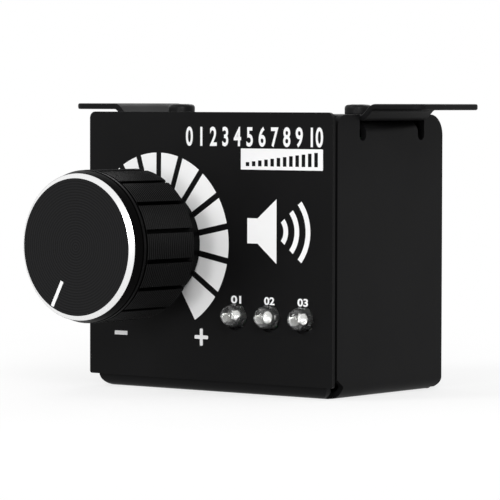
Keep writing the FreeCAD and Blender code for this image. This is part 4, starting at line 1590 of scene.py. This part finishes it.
@dataclass
class Studio:
    """Camera, soft lights, white world and floor.

    Places of the camera and the lights, their target and the reach of the floor are in metres.
    """

    camera_place: Point = (0.277788, -0.361993, 0.000322)
    camera_tilt: float = -2.76
    camera_turn: float = 37.97
    camera_roll: float = 0.105
    lens: float = 242.95
    sensor: float = 36.0
    shift: Spot = (0.0111, 0.0278)
    target: Point = (0.0, -0.01, -0.02)
    lights: tuple[SoftLight, ...] = (
        SoftLight("key", (-0.5, -0.75, 0.6), 0.35, 2.6),
        SoftLight("fill", (0.8, -0.85, 0.45), 0.45, 7.6),
        SoftLight("front", (0.2, -1.1, 0.1), 0.3, 2.6),
        SoftLight("back", (-0.35, 0.85, 0.6), 0.4, 1.6),
    )
    ambient: float = 0.55
    floor: float = -38.21
    floor_reach: float = 6.0
    floor_sides: int = 96
    floor_tints: Spot = (0.34, 0.37)
    floor_mottle: float = 30.0
    floor_roughness: float = 0.9
    floor_lift: float = 0.68
    shadow_reach: Spot = (45.0, 150.0)

    def _camera(self) -> None:
        """Sets the camera at the photograph's angle."""
        data = bpy.data.cameras.new("camera")
        data.lens = self.lens
        data.sensor_width = self.sensor
        data.shift_x, data.shift_y = self.shift
        camera = bpy.data.objects.new("camera", data)
        bpy.context.scene.collection.objects.link(camera)
        angles = (math.radians(90 + self.camera_tilt), 0, math.radians(self.camera_turn))
        roll = Matrix.Rotation(math.radians(self.camera_roll), 3, "Z")
        aim = (Euler(angles).to_matrix() @ roll).to_4x4()
        camera.matrix_world = Matrix.Translation(self.camera_place) @ aim
        bpy.context.scene.camera = camera

    @staticmethod
    def _seen(tree: Tree) -> Socket:
        """Makes a mask that is 1 for what is seen, mirrored or seen through glass.

        Args:
            tree: Node tree that the mask goes in.

        Returns:
            The mask.
        """
        path = tree.nodes.new("ShaderNodeLightPath")
        mask = path.outputs[SEEN_RAYS[0]]
        for kind in SEEN_RAYS[1:]:
            node = tree.nodes.new("ShaderNodeMath")
            node.operation = "MAXIMUM"
            tree.links.new(mask, node.inputs[0])
            tree.links.new(path.outputs[kind], node.inputs[1])
            mask = node.outputs[0]
        return mask

    def _world(self) -> None:
        """Sets plain white for what is seen and mirrored, and a softer level for light."""
        world = bpy.data.worlds.new("studio")
        world.use_nodes = True
        tree = world.node_tree
        tree.nodes.clear()
        output = tree.nodes.new("ShaderNodeOutputWorld")
        mix = tree.nodes.new("ShaderNodeMixShader")
        tree.links.new(self._seen(tree), mix.inputs["Fac"])
        for index, level in ((1, self.ambient), (2, 1.0)):
            ground = tree.nodes.new("ShaderNodeBackground")
            ground.inputs["Color"].default_value = (level, level, level, 1)
            tree.links.new(ground.outputs[0], mix.inputs[index])
        tree.links.new(mix.outputs[0], output.inputs["Surface"])
        bpy.context.scene.world = world

    def _floor_sheet(self) -> Sheet:
        """Makes the floor's material, which keeps the model's shadow and turns white further out.

        Returns:
            The node sheet.
        """
        sheet = Sheet("pale floor")
        noise = sheet.add("ShaderNodeTexNoise")
        noise.inputs["Scale"].default_value = self.floor_mottle
        sheet.join(sheet.place, noise.inputs["Vector"])
        low, high = self.floor_tints
        tint = sheet.blend(noise.outputs[0], (low, low, low), (high, high, high))
        sheet.join(tint, sheet.shader.inputs["Base Color"])
        sheet.shader.inputs["Roughness"].default_value = self.floor_roughness
        sheet.shader.inputs["Specular IOR Level"].default_value = 0.0
        reach = sheet.add("ShaderNodeVectorMath")
        reach.operation = "LENGTH"
        sheet.join(sheet.place, reach.inputs[0])
        far = sheet.add("ShaderNodeMapRange")
        far.interpolation_type = "SMOOTHSTEP"
        far.inputs["From Min"].default_value = self.shadow_reach[0] * MM
        far.inputs["From Max"].default_value = self.shadow_reach[1] * MM
        sheet.join(reach.outputs["Value"], far.inputs["Value"])
        seen = self._seen(sheet.tree)
        white = sheet.add("ShaderNodeMath")
        white.operation = "MULTIPLY"
        sheet.join(seen, white.inputs[0])
        sheet.join(far.outputs[0], white.inputs[1])
        lift = sheet.add("ShaderNodeEmission")
        lift.inputs["Strength"].default_value = self.floor_lift
        glow = sheet.add("ShaderNodeEmission").outputs[0]
        plain = sheet.shader.outputs[0]
        lifted = sheet.mixed("ShaderNodeAddShader", plain, lift.outputs[0])
        near = sheet.mixed("ShaderNodeMixShader", plain, lifted, seen)
        whole = sheet.mixed("ShaderNodeMixShader", near, glow, white.outputs[0])
        sheet.join(whole, sheet.output.inputs["Surface"])
        return sheet

    def _floor(self) -> None:
        """Adds a pale round floor."""
        Bench.clear()
        bpy.ops.mesh.primitive_circle_add(
            vertices=self.floor_sides,
            radius=self.floor_reach,
            fill_type="NGON",
            location=(0, 0, self.floor * MM),
        )
        floor = Bench.named("floor")
        floor.data.materials.append(self._floor_sheet().material)

    def build(self) -> None:
        """Sets up the studio."""
        bpy.context.scene.view_settings.view_transform = "Standard"
        self._camera()
        self._world()
        for light in self.lights:
            light.add(self.target)
        self._floor()


def main() -> None:
    """Builds the sub-assemblies in order."""
    logging.basicConfig(level=logging.INFO, format="%(message)s")
    for assembly in (Studio, Works, Enclosure, CoverScrews, Knob, DialPrint, IndicatorLamps):
        LOG.info("building %s", assembly.__name__)
        assembly().build()


if __name__ == "__main__":
    main()
